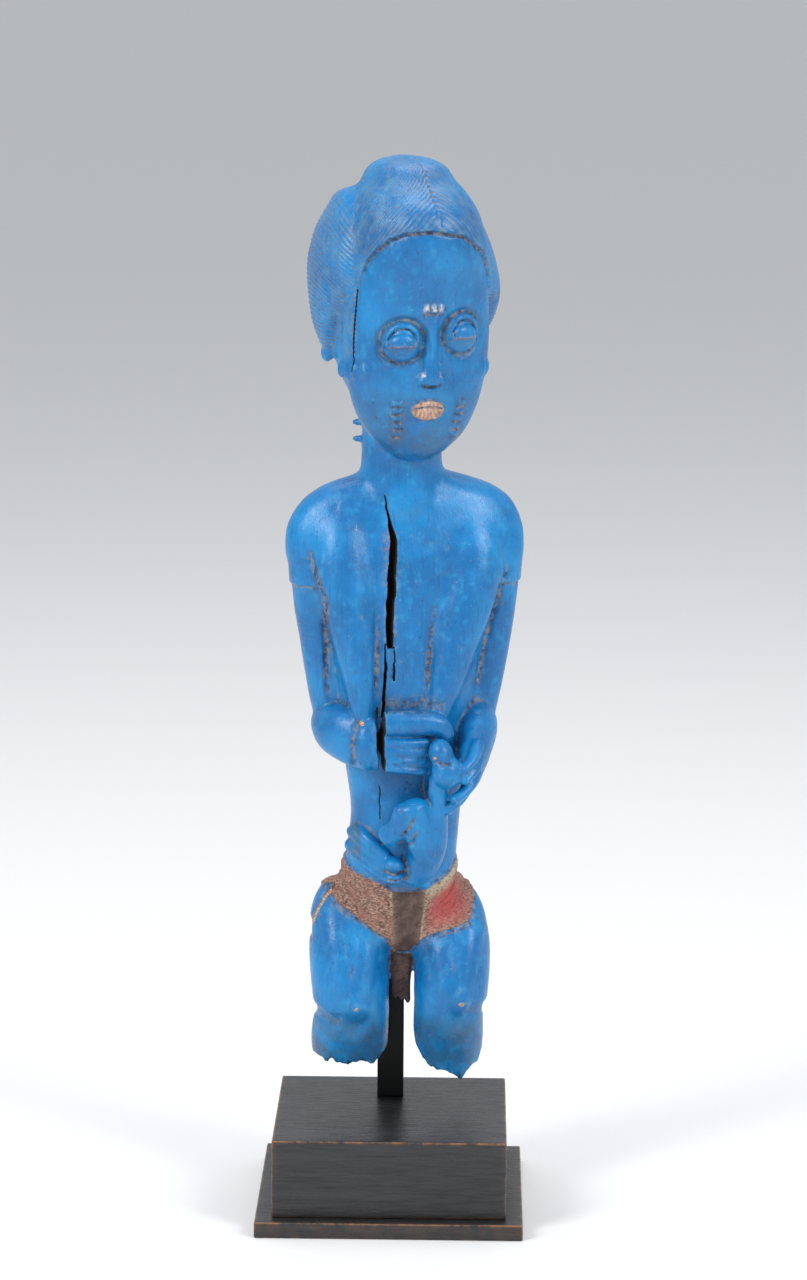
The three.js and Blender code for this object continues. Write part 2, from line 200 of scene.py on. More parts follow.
def placed(shapes, part):
    """Sets shapes that were made about their own upright axis in their place on the figure."""
    turned = Matrix.Rotation(math.radians(part["turn"]), 4, "Z")
    place = Matrix.Translation((*part["axis"], 0.0)) @ turned
    for bm in shapes:
        bmesh.ops.transform(bm, matrix=place, verts=bm.verts)
    return shapes


def fused(name, shapes, voxel):
    """Overlapping shapes in millimetres, made one closed skin in metres."""
    whole = bmesh.new()
    for bm in shapes:
        part = bpy.data.meshes.new(name)
        bm.to_mesh(part)
        bm.free()
        whole.from_mesh(part)
        bpy.data.meshes.remove(part)
    bmesh.ops.scale(whole, vec=(MM, MM, MM), verts=whole.verts)
    made = new_object(name, whole)
    skin = made.modifiers.new("skin", "REMESH")
    skin.mode = "VOXEL"
    skin.voxel_size = voxel * MM
    apply_modifiers(made)
    return made


def apply_modifiers(made):
    graph = bpy.context.evaluated_depsgraph_get()
    done = bpy.data.meshes.new_from_object(made.evaluated_get(graph))
    made.modifiers.clear()
    old, made.data = made.data, done
    bpy.data.meshes.remove(old)


def as_shape(made):
    """The object's mesh as a shape in millimetres, and the object is gone."""
    bm = bmesh.new()
    bm.from_mesh(made.data)
    bmesh.ops.scale(bm, vec=(1 / MM, 1 / MM, 1 / MM), verts=bm.verts)
    bpy.data.objects.remove(made)
    return bm


def points(mesh):
    flat = np.empty(len(mesh.vertices) * 3)
    mesh.vertices.foreach_get("co", flat)
    return flat.reshape(-1, 3) / MM


def set_points(mesh, place):
    mesh.vertices.foreach_set("co", (place * MM).ravel())
    mesh.update()


def normals(mesh):
    flat = np.empty(len(mesh.vertices) * 3)
    mesh.vertices.foreach_get("normal", flat)
    return flat.reshape(-1, 3)


def neighbours(mesh):
    ends = np.empty(len(mesh.edges) * 2, int)
    mesh.edges.foreach_get("vertices", ends)
    ends = ends.reshape(-1, 2)
    return ends, np.maximum(np.bincount(ends.ravel(), minlength=len(mesh.vertices)), 1)


def mean_of_neighbours(values, ends, count):
    total = np.empty_like(values)
    for axis in range(values.shape[1]):
        one = values[:, axis]
        total[:, axis] = np.bincount(ends[:, 0], one[ends[:, 1]], len(one))
        total[:, axis] += np.bincount(ends[:, 1], one[ends[:, 0]], len(one))
    return total / count[:, None]


def relax(mesh, times, weight=1.0, factor=0.5):
    """Evens out the skin. The weight says how far each point takes part."""
    place = points(mesh)
    ends, count = neighbours(mesh)
    share = factor * np.broadcast_to(weight, (len(place),))[:, None]
    for _ in range(times):
        place += share * (mean_of_neighbours(place, ends, count) - place)
    set_points(mesh, place)


def inside(place, part):
    """Points in millimetres, read in the frame of a part of the body: across, depth, level."""
    turn = math.radians(part["turn"])
    x, y = place[:, 0] - part["axis"][0], place[:, 1] - part["axis"][1]
    across = x * math.cos(turn) + y * math.sin(turn)
    depth = y * math.cos(turn) - x * math.sin(turn)
    return np.stack([across, depth, place[:, 2]], 1)


def front_of(part):
    turn = math.radians(part["turn"])
    return np.array([math.sin(turn), -math.cos(turn), 0.0])


def smooth_step(value, low, high):
    t = np.clip((value - low) / (high - low), 0, 1)
    return t * t * (3 - 2 * t)


def rough(place, size, seed):
    """Smooth random values from -1 to 1 with lumps of the given size."""
    table = np.random.RandomState(seed).uniform(-1, 1, 4096)
    cell = place / size
    corner = np.floor(cell).astype(np.int64)
    part = cell - corner
    part = part * part * (3 - 2 * part)
    total = np.zeros(len(place))
    for dx in (0, 1):
        for dy in (0, 1):
            for dz in (0, 1):
                key = (corner[:, 0] + dx) * 73856093 ^ (corner[:, 1] + dy) * 19349663 ^ (corner[:, 2] + dz) * 83492791
                share = np.where(dx, part[:, 0], 1 - part[:, 0]) * np.where(dy, part[:, 1], 1 - part[:, 1])
                total += table[key & 4095] * share * np.where(dz, part[:, 2], 1 - part[:, 2])
    return total


def to_path(flat, path):
    """How far each point of two coordinates is from a path, and how far along the path it lies."""
    best = np.full(len(flat), 1e9)
    where = np.zeros(len(flat))
    path = np.asarray(path, float)
    lengths = np.linalg.norm(np.diff(path, axis=0), axis=1)
    total, done = lengths.sum(), 0.0
    for start, end, length in zip(path[:-1], path[1:], lengths):
        t = np.clip(((flat - start) @ (end - start)) / length**2, 0, 1)
        gap = np.linalg.norm(flat - start - t[:, None] * (end - start), axis=1)
        near = gap < best
        best[near] = gap[near]
        where[near] = (done + t[near] * length) / total
        done += length
    return best, where


def stroke(flat, path, width, fade=0.12):
    """1 on the path's middle line, 0 at `width` from it, and fading at the path's ends."""
    gap, where = to_path(flat, path)
    body = np.clip(1 - (gap / width) ** 2, 0, 1)
    return body * smooth_step(where, 0, fade) * smooth_step(1 - where, 0, fade)


# Body, in the frame of the chest.

TRUNK = [
    (-1.0, 4.0, 124, 24.0, 20.0),
    (-2.5, 1.0, 150, 26.0, 21.0),
    (-2.2, -1.0, 161, 25.3, 19.5),
    (-0.5, -1.5, 176, 24.9, 18.5),
    (0.2, -1.0, 190, 25.6, 18.2),
    (-0.2, 0.0, 210, 28.5, 18.6),
    (-0.3, 0.0, 234, 32.0, 19.2),
    (-0.3, 0.0, 260, 35.5, 19.8),
    (-0.3, 0.5, 287, 39.5, 20.0),
    (-0.3, 1.5, 305, 43.0, 19.5),
    (-0.3, 3.0, 322, 38.0, 17.0),
]
SHOULDERS = [
    (-0.4, 3, 286, 45.0, 17.0),
    (-0.4, 3, 297, 52.9, 18.4),
    (-0.4, 3, 305, 54.4, 19.0),
    (-0.4, 3, 312, 53.6, 18.8),
    (-0.2, 3, 319, 50.8, 17.6),
    (0.0, 3, 324, 47.2, 16.4),
    (0.1, 3, 328, 42.3, 15.2),
    (0.2, 3, 331, 36.6, 14.0),
    (0.2, 3, 334, 27.6, 12.6),
    (0.2, 3, 336, 19.5, 11.2),
]
BREASTS = {
    -1: [
        (-24.0, 2.0, 322, 12.0, 10.0),
        (-28.5, -6.0, 308, 13.5, 11.0),
        (-29.0, -10.0, 292, 13.5, 11.5),
        (-27.0, -12.5, 276, 11.8, 11.0),
        (-25.0, -14.5, 260, 9.3, 10.0),
        (-23.0, -16.5, 244, 7.2, 8.5),
        (-22.6, -18.5, 231, 5.4, 7.0),
        (-22.8, -20.0, 225, 4.0, 6.0),
    ],
    1: [
        (22.0, 2.0, 322, 12.0, 10.0),
        (27.0, -6.0, 308, 14.0, 11.0),
        (27.3, -10.0, 292, 13.5, 11.5),
        (23.5, -12.5, 276, 12.3, 11.0),
        (19.0, -14.5, 260, 10.2, 10.0),
        (14.8, -16.5, 244, 8.2, 8.5),
        (11.5, -18.5, 231, 6.3, 7.0),
        (10.5, -20.0, 222, 5.0, 6.0),
    ],
}
UPPER_ARM = [
    (44.0, 3, 305, 9.0, 11.0),
    (43.2, 3, 287, 8.6, 10.8),
    (42.2, 3, 275, 8.4, 10.4),
    (40.1, 3, 261, 8.2, 10.0),
    (37.8, 3, 246, 8.0, 9.8),
    (34.6, 3, 232, 8.2, 9.8),
    (32.4, 2, 223, 8.4, 9.8),
]
LEFT_FOREARM = [
    (-32.3, 3.0, 222.5, 11.0, 10.6),
    (-32.2, -6.0, 221.2, 12.0, 10.4),
    (-28.8, -14.0, 219.4, 12.5, 8.6),
    (-23.8, -20.0, 217.8, 12.0, 6.8),
    (-17.0, -23.5, 217.0, 11.8, 5.6),
    (-8.0, -24.0, 216.5, 11.0, 4.6),
]
HAND_BACK = ((-21.0, -22.5, 217.2), (7.0, 7.0, 12.2))
THUMB = [
    (-14.0, -27.2, 227.4, 5.3, 4.6),
    (-6.0, -27.8, 227.6, 5.5, 4.9),
    (4.0, -27.8, 227.2, 5.4, 4.8),
    (11.0, -27.4, 225.4, 4.9, 4.4),
    (14.3, -27.0, 221.4, 3.6, 3.8),
]
FINGER_COUNT = 4
RIGHT_FOREARM = [
    (31.0, 4.0, 222.5, 11.4, 10.2),
    (31.2, -7.0, 220.2, 12.0, 9.6),
    (28.8, -17.0, 213.4, 11.6, 7.6),
    (25.2, -25.0, 206.8, 10.4, 5.8),
    (22.5, -29.0, 203.0, 9.5, 4.5),
]
CRADLE_FINGERS = [
    ((28.2, -28.5, 217.5), (24.6, -35.0, 212.0), (19.6, -38.5, 207.8)),
    ((28.6, -28.5, 211.0), (25.2, -35.0, 206.6), (20.0, -38.5, 202.6)),
    ((27.4, -28.5, 204.5), (22.8, -34.5, 198.6), (16.0, -37.0, 193.6)),
    ((24.0, -27.0, 198.0), (19.0, -32.0, 192.5), (13.0, -34.0, 188.0)),
]


def finger_line(number):
    """The left and right end of a finger of the hand on the breast."""
    return (-14.0, 218.7 - 3.75 * number), (4.6, 218.2 - 4.4 * number)


def breast_hand():
    shapes = [
        limb(LEFT_FOREARM, side=UP, dome=(0.8, 0.3)),
        ball(*HAND_BACK, turn=-20),
        limb(THUMB, side=UP, squareness=2.4, dome=(0.3, 0.9)),
    ]
    for number in range(FINGER_COUNT):
        (left, left_level), (right, right_level) = finger_line(number)
        middle, middle_level = (left + right) / 2, (left_level + right_level) / 2
        knots = [
            (left, -27.0, left_level, 2.1, 3.6),
            (middle, -27.6, middle_level, 2.2, 3.8),
            (right, -26.4, right_level, 2.3, 3.4),
        ]
        shapes.append(limb(knots, side=UP, around=24, rows=24, squareness=2.2, dome=(0.3, 0.8)))
    return shapes


def cradle_hand():
    shapes = [limb(RIGHT_FOREARM, side=UP, dome=(0.8, 0.5))]
    for line in CRADLE_FINGERS:
        knots = [(*spot, 2.7 - 0.25 * step, 3.0) for step, spot in enumerate(line)]
        shapes.append(limb(knots, side=UP, around=24, rows=24))
    return shapes


CHILD_BODY = [
    (10.2, -33.0, 202.0, 4.8, 5.0),
    (9.4, -31.6, 194.0, 4.6, 5.0),
    (8.6, -29.4, 187.0, 6.4, 7.0),
    (7.2, -27.6, 179.0, 8.0, 8.8),
    (5.8, -26.4, 170.0, 8.6, 9.2),
    (3.6, -25.0, 161.5, 7.6, 8.0),
    (0.6, -23.6, 155.5, 5.6, 5.6),
]
CHILD_THIGH = [
    (4.0, -29.0, 166.0, 5.5, 6.0),
    (1.0, -32.0, 178.0, 6.4, 6.6),
    (-2.4, -33.6, 189.6, 7.2, 6.0),
]
CHILD_SHIN = [
    (-4.4, -33.0, 188.0, 6.4, 5.2),
    (-7.4, -31.0, 181.0, 5.6, 5.2),
    (-12.6, -28.5, 176.4, 5.0, 5.2),
]


def child():
    return [
        ball((12.9, -35.5, 206.4), (7.0, 7.2, 8.0)),
        ball((10.4, -35.0, 214.6), (5.6, 6.2, 7.0), lean=-14),
        limb(CHILD_BODY, rows=48),
        limb(CHILD_THIGH, around=32, rows=28),
        limb(CHILD_SHIN, around=32, rows=28),
        ball((-9.0, -25.0, 162.2), (4.7, 5.2, 3.6), lean=8),
        ball((-9.2, -24.6, 156.2), (4.9, 5.2, 3.8), lean=-8),
        ball((5.4, -23.0, 152.4), (2.9, 4.4, 2.4)),
    ]


STRIP_COUNT = 4


def waist_strips():
    """Narrow strips that slant down over the waist on the left, and two knobs at their outer ends."""
    shapes = []
    for number in range(STRIP_COUNT):
        knots = [
            (-24.0, -9.0, 176.8 - 4.3 * number, 2.2, 2.6),
            (-20.0, -17.5, 173.0 - 4.0 * number, 2.5, 2.8),
            (-12.0, -22.0, 165.6 - 3.6 * number, 2.2, 2.6),
        ]
        shapes.append(limb(knots, side=UP, around=24, rows=28))
    shapes.append(ball((-25.4, -7.0, 174.0), (2.5, 4.0, 2.9)))
    shapes.append(ball((-26.0, -6.4, 167.6), (2.6, 4.0, 2.9)))
    return shapes


# Legs, in their own frame.

THIGHS = {
    -1: [
        (-18.0, 12.0, 140, 16.0, 17.5),
        (-21.6, 8.0, 132, 18.8, 19.5),
        (-22.3, 1.0, 120, 18.4, 19.5),
        (-22.2, -4.5, 108, 18.2, 18.0),
        (-21.4, -8.0, 97, 17.4, 16.8),
        (-20.4, -7.4, 90.5, 16.4, 15.6),
        (-21.6, -4.0, 81, 17.6, 15.6),
        (-22.2, 0.0, 70, 17.4, 15.4),
        (-21.6, 2.0, 58, 16.6, 15.0),
    ],
    1: [
        (17.4, 12.0, 139, 14.5, 17.0),
        (22.0, 8.0, 131, 17.0, 19.0),
        (24.2, 1.0, 120, 17.6, 19.5),
        (24.5, -4.5, 108, 17.3, 18.0),
        (23.8, -8.0, 97, 16.8, 16.8),
        (22.8, -7.4, 90.5, 15.8, 15.6),
        (23.0, -4.0, 81, 16.2, 15.6),
        (23.6, 0.0, 70, 15.2, 15.4),
        (23.2, 2.0, 58, 15.0, 15.0),
    ],
}
GROIN = [
    (1.0, -8.0, 156, 17.0, 13.5),
    (1.5, -8.0, 142, 14.0, 13.0),
    (2.2, -7.0, 130, 9.5, 10.5),
    (2.0, -5.0, 120, 6.4, 8.0),
]
TAIL = [
    (1.8, -5.0, 126, 6.4, 5.0),
    (1.6, -3.0, 114, 5.0, 3.6),
    (1.5, -1.0, 102, 4.5, 2.6),
    (1.5, 0.5, 94, 4.4, 2.2),
]


def leg(side):
    return [
        limb(THIGHS[side], around=48, rows=56, squareness=2.3, dome=(0.1, 0.5)),
        ball((side * 16.5, 19.0, 134), (16.5, 17.0, 17.5)),
    ]


# Head, in its own frame.

FACE = [
    (0, -20.0, 349.0, 13.5, 8.5),
    (0, -19.0, 356.0, 22.0, 13.2),
    (0, -18.0, 367.0, 28.2, 16.4),
    (0, -18.0, 380.0, 31.8, 18.2),
    (0, -18.0, 396.0, 33.6, 20.4),
    (0, -17.5, 412.0, 33.0, 25.0),
    (0, -16.5, 428.0, 31.6, 30.4),
    (0, -16.0, 442.0, 29.6, 32.6),
    (0, -14.0, 452.0, 27.6, 31.0),
]
SKULL = [
    (0, -3.0, 366, 20.0, 18.0),
    (0, 0.0, 380, 27.5, 26.0),
    (0, 2.0, 400, 31.0, 31.0),
    (0, 2.0, 430, 30.0, 30.0),
]
NECK = [
    (0, 0.0, 322, 19.5, 18.0),
    (0, 0.0, 338, 18.4, 17.0),
    (0, -1.0, 355, 18.2, 17.0),
    (0, -2.0, 374, 18.4, 17.0),
]
CREST = [
    (0, -20.0, 428, 29.5, 28.0),
    (0, -21.0, 441, 29.0, 29.8),
    (-0.4, -19.0, 452, 27.2, 30.8),
    (-1.0, -14.5, 461, 24.0, 28.8),
    (-1.4, -9.5, 468.5, 19.0, 24.0),
]
LOBES = {
    -1: [
        (-30.6, 5.0, 390, 3.4, 8.0),
        (-30.2, 4.0, 403, 8.6, 18.0),
        (-27.8, 3.0, 417, 12.8, 25.5),
        (-26.2, 3.0, 431, 14.4, 28.0),
        (-23.8, 2.0, 446, 13.8, 25.0),
        (-20.8, 0.0, 458.5, 11.2, 18.0),
    ],
    1: [
        (34.4, 5.0, 394, 5.0, 8.0),
        (33.0, 4.0, 404, 10.4, 18.0),
        (29.8, 3.0, 417, 15.2, 25.5),
        (26.8, 3.0, 431, 15.2, 28.0),
        (23.0, 2.0, 445, 13.4, 25.0),
        (20.0, 0.0, 457, 9.6, 18.0),
    ],
}
LOBE_CUT = (0.0, -22.0, 423.0)
LOBE_SLANT = (0.0, -0.743, -0.669)
BACK_LOBE = [
    (0, 20.0, 399, 18.0, 12.0),
    (0, 20.0, 416, 26.0, 16.0),
    (0, 17.0, 435, 24.0, 17.0),
    (0, 9.0, 453, 17.0, 15.0),
]
NOSE = [
    (-0.8, -41.0, 413, 3.0, 3.4),
    (-0.8, -38.2, 402, 3.3, 3.6),
    (-0.6, -37.2, 391, 3.4, 3.8),
    (-0.2, -36.6, 384, 4.0, 4.6),
    (0.0, -35.6, 381, 4.2, 4.8),
]
# The small block before each ear is cut into ribs, at (across, depth).
EAR_RIBS = [(33.0, -14.0), (31.9, -18.8), (30.0, -23.4), (27.2, -27.4)]
HAIR_PENDANT = (-0.6, -48.4, 441.0)
LOBE_TIP = (-31.4, 11.0, 389.6)
NECK_SCARS = (366.6, 358.6, 351.2)


def head_masses():
    shapes = [
        limb(FACE, around=56, rows=64, level=True, dome=(0.5, 0.3)),
        limb(SKULL, around=48, rows=32, level=True, dome=(0.3, 0.3)),
        limb(NECK, around=40, rows=24),
        limb(CREST, around=48, rows=40, level=True, dome=(0.1, 0.5)),
        limb(BACK_LOBE, around=40, rows=40, level=True, dome=(0.5, 0.5)),
    ]
    return shapes + [hair_lobe(side) for side in SIDES]


def hair_lobe(side):
    """A leaf of hair behind the crest, cut off below on a slant that falls towards the back."""
    bm = limb(LOBES[side], around=40, rows=44, level=True, dome=(0.4, 0.5))
    cut = bmesh.ops.bisect_plane(
        bm, geom=bm.verts[:] + bm.edges[:] + bm.faces[:], plane_co=LOBE_CUT, plane_no=LOBE_SLANT, clear_outer=True
    )
    rim = [item for item in cut["geom_cut"] if isinstance(item, bmesh.types.BMEdge)]
    bmesh.ops.holes_fill(bm, edges=rim)
    return bm


def head_details():
    shapes = [limb(NOSE, around=28, rows=36, dome=(0.3, 0.3))]
    for side in SIDES:
        shapes.append(ball((side * 3.8, -36.4, 381.4), (2.9, 3.6, 2.9)))
        for across, depth in EAR_RIBS:
            shapes.append(ball((side * across, depth, 385.2), (2.3, 2.5, 4.3)))
    shapes.append(ball(HAIR_PENDANT, (1.3, 1.6, 3.0)))
    shapes.append(ball(LOBE_TIP, (2.8, 4.0, 4.0)))
    return shapes


def neck_scars():
    """Three pointed scars up the left side of the neck, in the frame of the legs."""
    return [ball((-19.6, 0.0, level), (2.9, 2.4, 1.5)) for level in NECK_SCARS]


def figure_masses():
    """The big forms, softened where they meet."""
    body = [
        limb(TRUNK, around=56, rows=56, squareness=2.25, dome=(0.2, 0.15), level=True),
        limb(SHOULDERS, around=64, rows=48, squareness=2.3, dome=(0.1, 0.1), level=True),
    ]
    for side in SIDES:
        body.append(limb(BREASTS[side], around=40, rows=48, squareness=2.2))
        arm = [(side * across, *rest) for across, *rest in UPPER_ARM]
        body.append(limb(arm, around=36, rows=44))
    legs = leg(-1) + leg(1) + [limb(GROIN, squareness=2.4)]
    masses = fused("masses", placed(body, CHEST) + placed(legs, LEGS) + placed(head_masses(), HEAD), MASS_VOXEL)
    relax(masses.data, 10)
    return as_shape(masses)


def figure_skin():
    details = placed(breast_hand() + cradle_hand() + child() + waist_strips(), CHEST)
    details += placed([limb(TAIL, squareness=2.6)] + neck_scars(), LEGS) + placed(head_details(), HEAD)
    skin = fused("figure_skin", [figure_masses()] + details, BODY_VOXEL)
    relax(skin.data, 3)
    return skin


# Cuts: splits in the wood, and the broken ends of the legs.

CHEST_SPLIT = [
    (-12.4, -21, 329.0, 0.3, 8),
    (-10.9, -22, 318.6, 0.7, 12),
    (-8.8, -22, 308.0, 1.6, 14),
    (-9.4, -22, 297.0, 1.9, 14),
    (-10.1, -22, 283.0, 1.95, 14),
    (-10.5, -22, 268.0, 1.8, 14),
    (-10.4, -22, 259.5, 1.5, 14),
]
SPLINTER_LEFT = [
    (-12.4, -22, 262.0, 0.5, 8),
    (-12.3, -22, 246.0, 0.55, 8),
    (-13.6, -22, 228.0, 0.6, 8),
]
SPLINTER_RIGHT = [
    (-8.3, -22, 260.5, 0.4, 6),
    (-8.5, -22, 245.0, 0.3, 6),
]
HAND_SPLIT = [
    (-15.6, -29, 236.0, 0.6, 8),
    (-15.9, -29, 231.0, 1.8, 11),
    (-15.8, -29, 218.0, 1.8, 11),
    (-15.0, -28, 206.0, 1.2, 10),
    (-14.4, -22, 196.0, 0.45, 6),
    (-14.0, -20, 181.0, 0.3, 4),
]
HEAD_SPLIT = [
    (-27.6, -29, 440.0, 3.5, 0.5),
    (-29.4, -27, 430.0, 3.5, 0.5),
    (-31.2, -26, 415.0, 3.5, 0.45),
    (-31.6, -25, 400.0, 3.5, 0.45),
    (-30.4, -24, 385.0, 3.0, 0.35),
]
# Each leg's broken edge is (across, level), from its outer side to its inner side.
BREAK_EDGES = {
    -1: [(-60, 72), (-37, 69), (-33, 66.5), (-30, 68.5), (-24, 66.5), (-15, 67.5), (-11, 66), (-8, 69), (-2, 74)],
    1: [
        (-4, 80), (7, 76), (11, 69), (15, 65), (20, 63.5), (26, 62), (29, 59), (32, 63.5), (37, 67), (41, 78),
        (60, 84),
    ],
}


def slit(knots, seed):
    """A cutter along a split, with wavering sides."""
    bm = limb(knots, around=24, rows=90, dome=(0.0, 0.0))
    place = np.array([v.co for v in bm.verts])
    waver = 0.32 * rough(place * (0.05, 0.0, 1.0), 2.6, seed) + 0.2 * rough(place * (0.3, 0.0, 1.0), 0.9, seed + 1)
    for vert, shift in zip(bm.verts, waver):
        vert.co.x += shift
    return bm


def broken_end(side):
    """A cutter below a ragged face, where a shank broke off across the grain."""
    edge = np.array(BREAK_EDGES[side], float)
    bm = bmesh.new()
    bmesh.ops.create_grid(bm, x_segments=90, y_segments=90, size=32)
    middle = side * 30 + 2
    for vert in bm.verts:
        vert.co.x += middle
        vert.co.y += -2
    place = np.array([v.co for v in bm.verts])
    fibres = 1.3 * rough(place * (1.0, 1.0, 0.0), 2.0, 5) + 0.8 * rough(place * (1.0, 1.0, 0.0), 0.9, 6)
    level = np.interp(place[:, 0], edge[:, 0], edge[:, 1]) + 0.8 * fibres + 0.08 * (place[:, 1] + 12)
    for vert, height in zip(bm.verts, level):
        vert.co.z = height
    floor = bmesh.ops.extrude_face_region(bm, geom=bm.faces[:])["geom"]
    for item in floor:
        if isinstance(item, bmesh.types.BMVert):
            item.co.z = 45.0
    bmesh.ops.recalc_face_normals(bm, faces=bm.faces)
    return bm


def cut_away(made, cutters):
    """Takes the cutters out of the skin. The faces that they leave have the skin's second material."""
    for bm in cutters:
        bmesh.ops.scale(bm, vec=(MM, MM, MM), verts=bm.verts)
        for face in bm.faces:
            face.material_index = 1
        cutter = new_object("cutter", bm)
        for material in made.data.materials:
            cutter.data.materials.append(material)
        cut = made.modifiers.new("cut", "BOOLEAN")
        cut.operation = "DIFFERENCE"
        cut.solver = "MANIFOLD"
        cut.object = cutter
        apply_modifiers(made)
        bpy.data.objects.remove(cutter)


def figure_cuts():
    chest = [slit(CHEST_SPLIT, 11), slit(SPLINTER_LEFT, 12), slit(SPLINTER_RIGHT, 13), slit(HAND_SPLIT, 14)]
    head = [slit(HEAD_SPLIT, 15)]
    return placed(chest, CHEST) + placed(head, HEAD) + placed([broken_end(side) for side in SIDES], LEGS)


def finer(made, chosen):
    """Halves the mesh where `chosen` says so, from the middles of its faces in millimetres."""
    middles = np.empty(len(made.data.polygons) * 3)
    made.data.polygons.foreach_get("center", middles)
    picked = np.flatnonzero(chosen(middles.reshape(-1, 3) / MM))
    bm = bmesh.new()
    bm.from_mesh(made.data)
    bm.faces.ensure_lookup_table()
    edges = {edge for index in picked for edge in bm.faces[index].edges}
    bmesh.ops.subdivide_edges(bm, edges=list(edges), cuts=1, use_grid_fill=True)
    bm.to_mesh(made.data)
    bm.free()


def finely_carved(place):
    """Where the carving is fine: the hair, the face, the hands with the child, and the loincloth."""
    across, depth, level = inside(place, HEAD).T
    hair = (level > 392) & ((np.abs(across) > 29) | (depth > 0) | (level > hairline(across) - 2))
    face = (depth < -22) & (level > 352) & (level < 416) & (np.abs(across) < 25)
    hands = (inside(place, CHEST)[:, 1] < -17) & (level > 150) & (level < 236)
    cloth = (level > 116) & (level < 166)
    return hair | face | hands | cloth


# Carving. Each function moves the skin's points in one region, and lays paint there.


class Skin:
    """The skin's points in millimetres, how far each has to move, and its layers of paint, soiling, painted shade and
    painted highlights.
    """

    def __init__(self, mesh):
        self.mesh = mesh
        self.place = points(mesh)
        self.normal = normals(mesh)
        self.move = np.zeros_like(self.place)
        self.layers = {}

    def within(self, part):
        return inside(self.place, part)

    def raised(self, amount):
        self.move += self.normal * amount[:, None]

    def painted(self, layer, amount):
        old = self.layers.setdefault(layer, np.zeros(len(self.place)))
        np.maximum(old, amount, out=old)

    def carved(self):
        self.place += self.move
        self.move[:] = 0
        set_points(self.mesh, self.place)
        self.normal = normals(self.mesh)


def hollow(value, middle, width):
    """1 in the middle of a band, and 0 at `width` from it."""
    return np.clip(1 - ((value - middle) / width) ** 2, 0, 1)


EYES = ((-13.4, 398.6, -1), (14.2, 401.9, 1))
EYE_HALF = (8.6, 8.9)
EYE_TURN = 17.0
MOUTH, MOUTH_HALF = (-0.1, 367.9), (7.7, 4.5)
SCAR_BARS = 5


def eye_relief(p, q):
    """Height of an eye over the face. The eye's edge is where p and q make a circle of 1."""
    r = np.hypot(p, q)
    bulge = 2.1 * np.clip(1 - r**2, 0, 1) ** 0.8
    ring = hollow(r, 0.85, 0.18)
    lids = ring * (1.1 * smooth_step(q, -0.4, 0.0) + 0.7 * smooth_step(-q, 0.3, 0.6))
    crease = hollow(r, 0.66, 0.08) * smooth_step(q, -0.35, 0.0)
    socket = np.exp(-(((r - 1.14) / 0.15) ** 2))
    reach = np.sqrt(np.clip(1 - (p / 0.82) ** 2, 1e-4, 1))
    edge = -0.25
    upper = np.where(q >= edge, np.sqrt(np.clip(1 - ((q - edge) / (0.68 * reach)) ** 2, 0, 1)), 0)
    lower = np.where(q < edge, 0.38 * np.sqrt(np.clip(1 - ((edge - q) / (0.46 * reach)) ** 2, 0, 1)), 0)
    ball_height = 2.7 * np.sqrt(reach) * (upper + lower) * (reach > 0.02)
    return bulge + lids - 0.7 * crease - 1.2 * socket + ball_height


def carve_face(skin):
    across, depth, level = skin.within(HEAD).T
    front = (depth < -18) & (level > 345) & (level < 430)
    forward = front_of(HEAD)
    for middle, height, side in EYES:
        p, q = (across - middle) / EYE_HALF[0], (level - height) / EYE_HALF[1]
        near = front & (np.hypot(p, q) < 1.6)
        turned = Matrix.Rotation(math.radians(side * EYE_TURN), 3, "Z") @ Vector(forward)
        relief = np.where(near, eye_relief(p, q), 0)
        skin.move += np.outer(relief, turned)
        r = np.hypot(p, q)
        # Painted shade: dark in the socket's groove and the lid's crease, greyer around the socket and under the
        # eyeball's lower ridge.
        skin.painted("dirt_and_shade", near * 0.8 * (hollow(r, 1.08, 0.12) + hollow(r, 0.66, 0.07) * (q > -0.2)))
        skin.painted("grime_and_shade", near * 0.7 * hollow(r, 1.15, 0.3))
        skin.painted("grime_and_shade", near * 0.8 * hollow(q, -0.45, 0.22) * (np.abs(p) < 0.75))
        skin.painted("wear", near * hollow(q, -0.22, 0.09) * (np.abs(p) < 0.72))
    flat = np.stack([across, level], 1)
    for path in ([(-5.0, 405), (-5.3, 387)], [(3.8, 405), (4.2, 387)]):
        groove = stroke(flat, path, 1.7) * front
        skin.raised(-0.6 * groove)
    nostrils = stroke(flat, [(-5.2, 379.4), (0.0, 378.2), (5.2, 379.4)], 1.1) * front
    skin.move -= np.outer(0.9 * nostrils, forward)
    # Painted shade in the nostrils.
    skin.painted("dirt_and_shade", nostrils)
    # Painted highlights on the tops of the nose's wings.
    skin.painted("painted_highlight", front * np.maximum(stroke(flat, [(-4.6, 384.2), (-3.2, 383.6)], 1.2),
                                             stroke(flat, [(3.4, 383.8), (4.6, 384.2)], 1.2)))
    carve_mouth(skin, across, level, front, forward)
    carve_scars(skin, across, level, front, forward)
    # Darker and greyer towards the chin.
    skin.painted("grime_and_shade", front * (0.75 * (1 - smooth_step(level, 352, 392))))


def carve_mouth(skin, across, level, front, forward):
    p, q = (across - MOUTH[0]) / MOUTH_HALF[0], (level - MOUTH[1]) / MOUTH_HALF[1]
    r = np.hypot(p, q)
    near = front & (r < 1.5)
    lips = 1.7 * np.clip(1 - r**3, 0, 1) ** 0.5 - 0.3 * hollow(r, 1.15, 0.2)
    parting = hollow(q, 0.34 - 0.25 * p**2, 0.13) * (np.abs(p) < 0.86)
    skin.move += np.outer(np.where(near, lips - 0.75 * parting, 0), forward)
    skin.painted("lip", near * smooth_step(1.02 - r, 0, 0.1))
    # Painted shade in the lips' parting, and a dark line along their upper rim.
    skin.painted("dirt_and_shade", near * np.maximum(0.9 * parting, 0.7 * hollow(r, 1.0, 0.1) * (q > 0.1)))


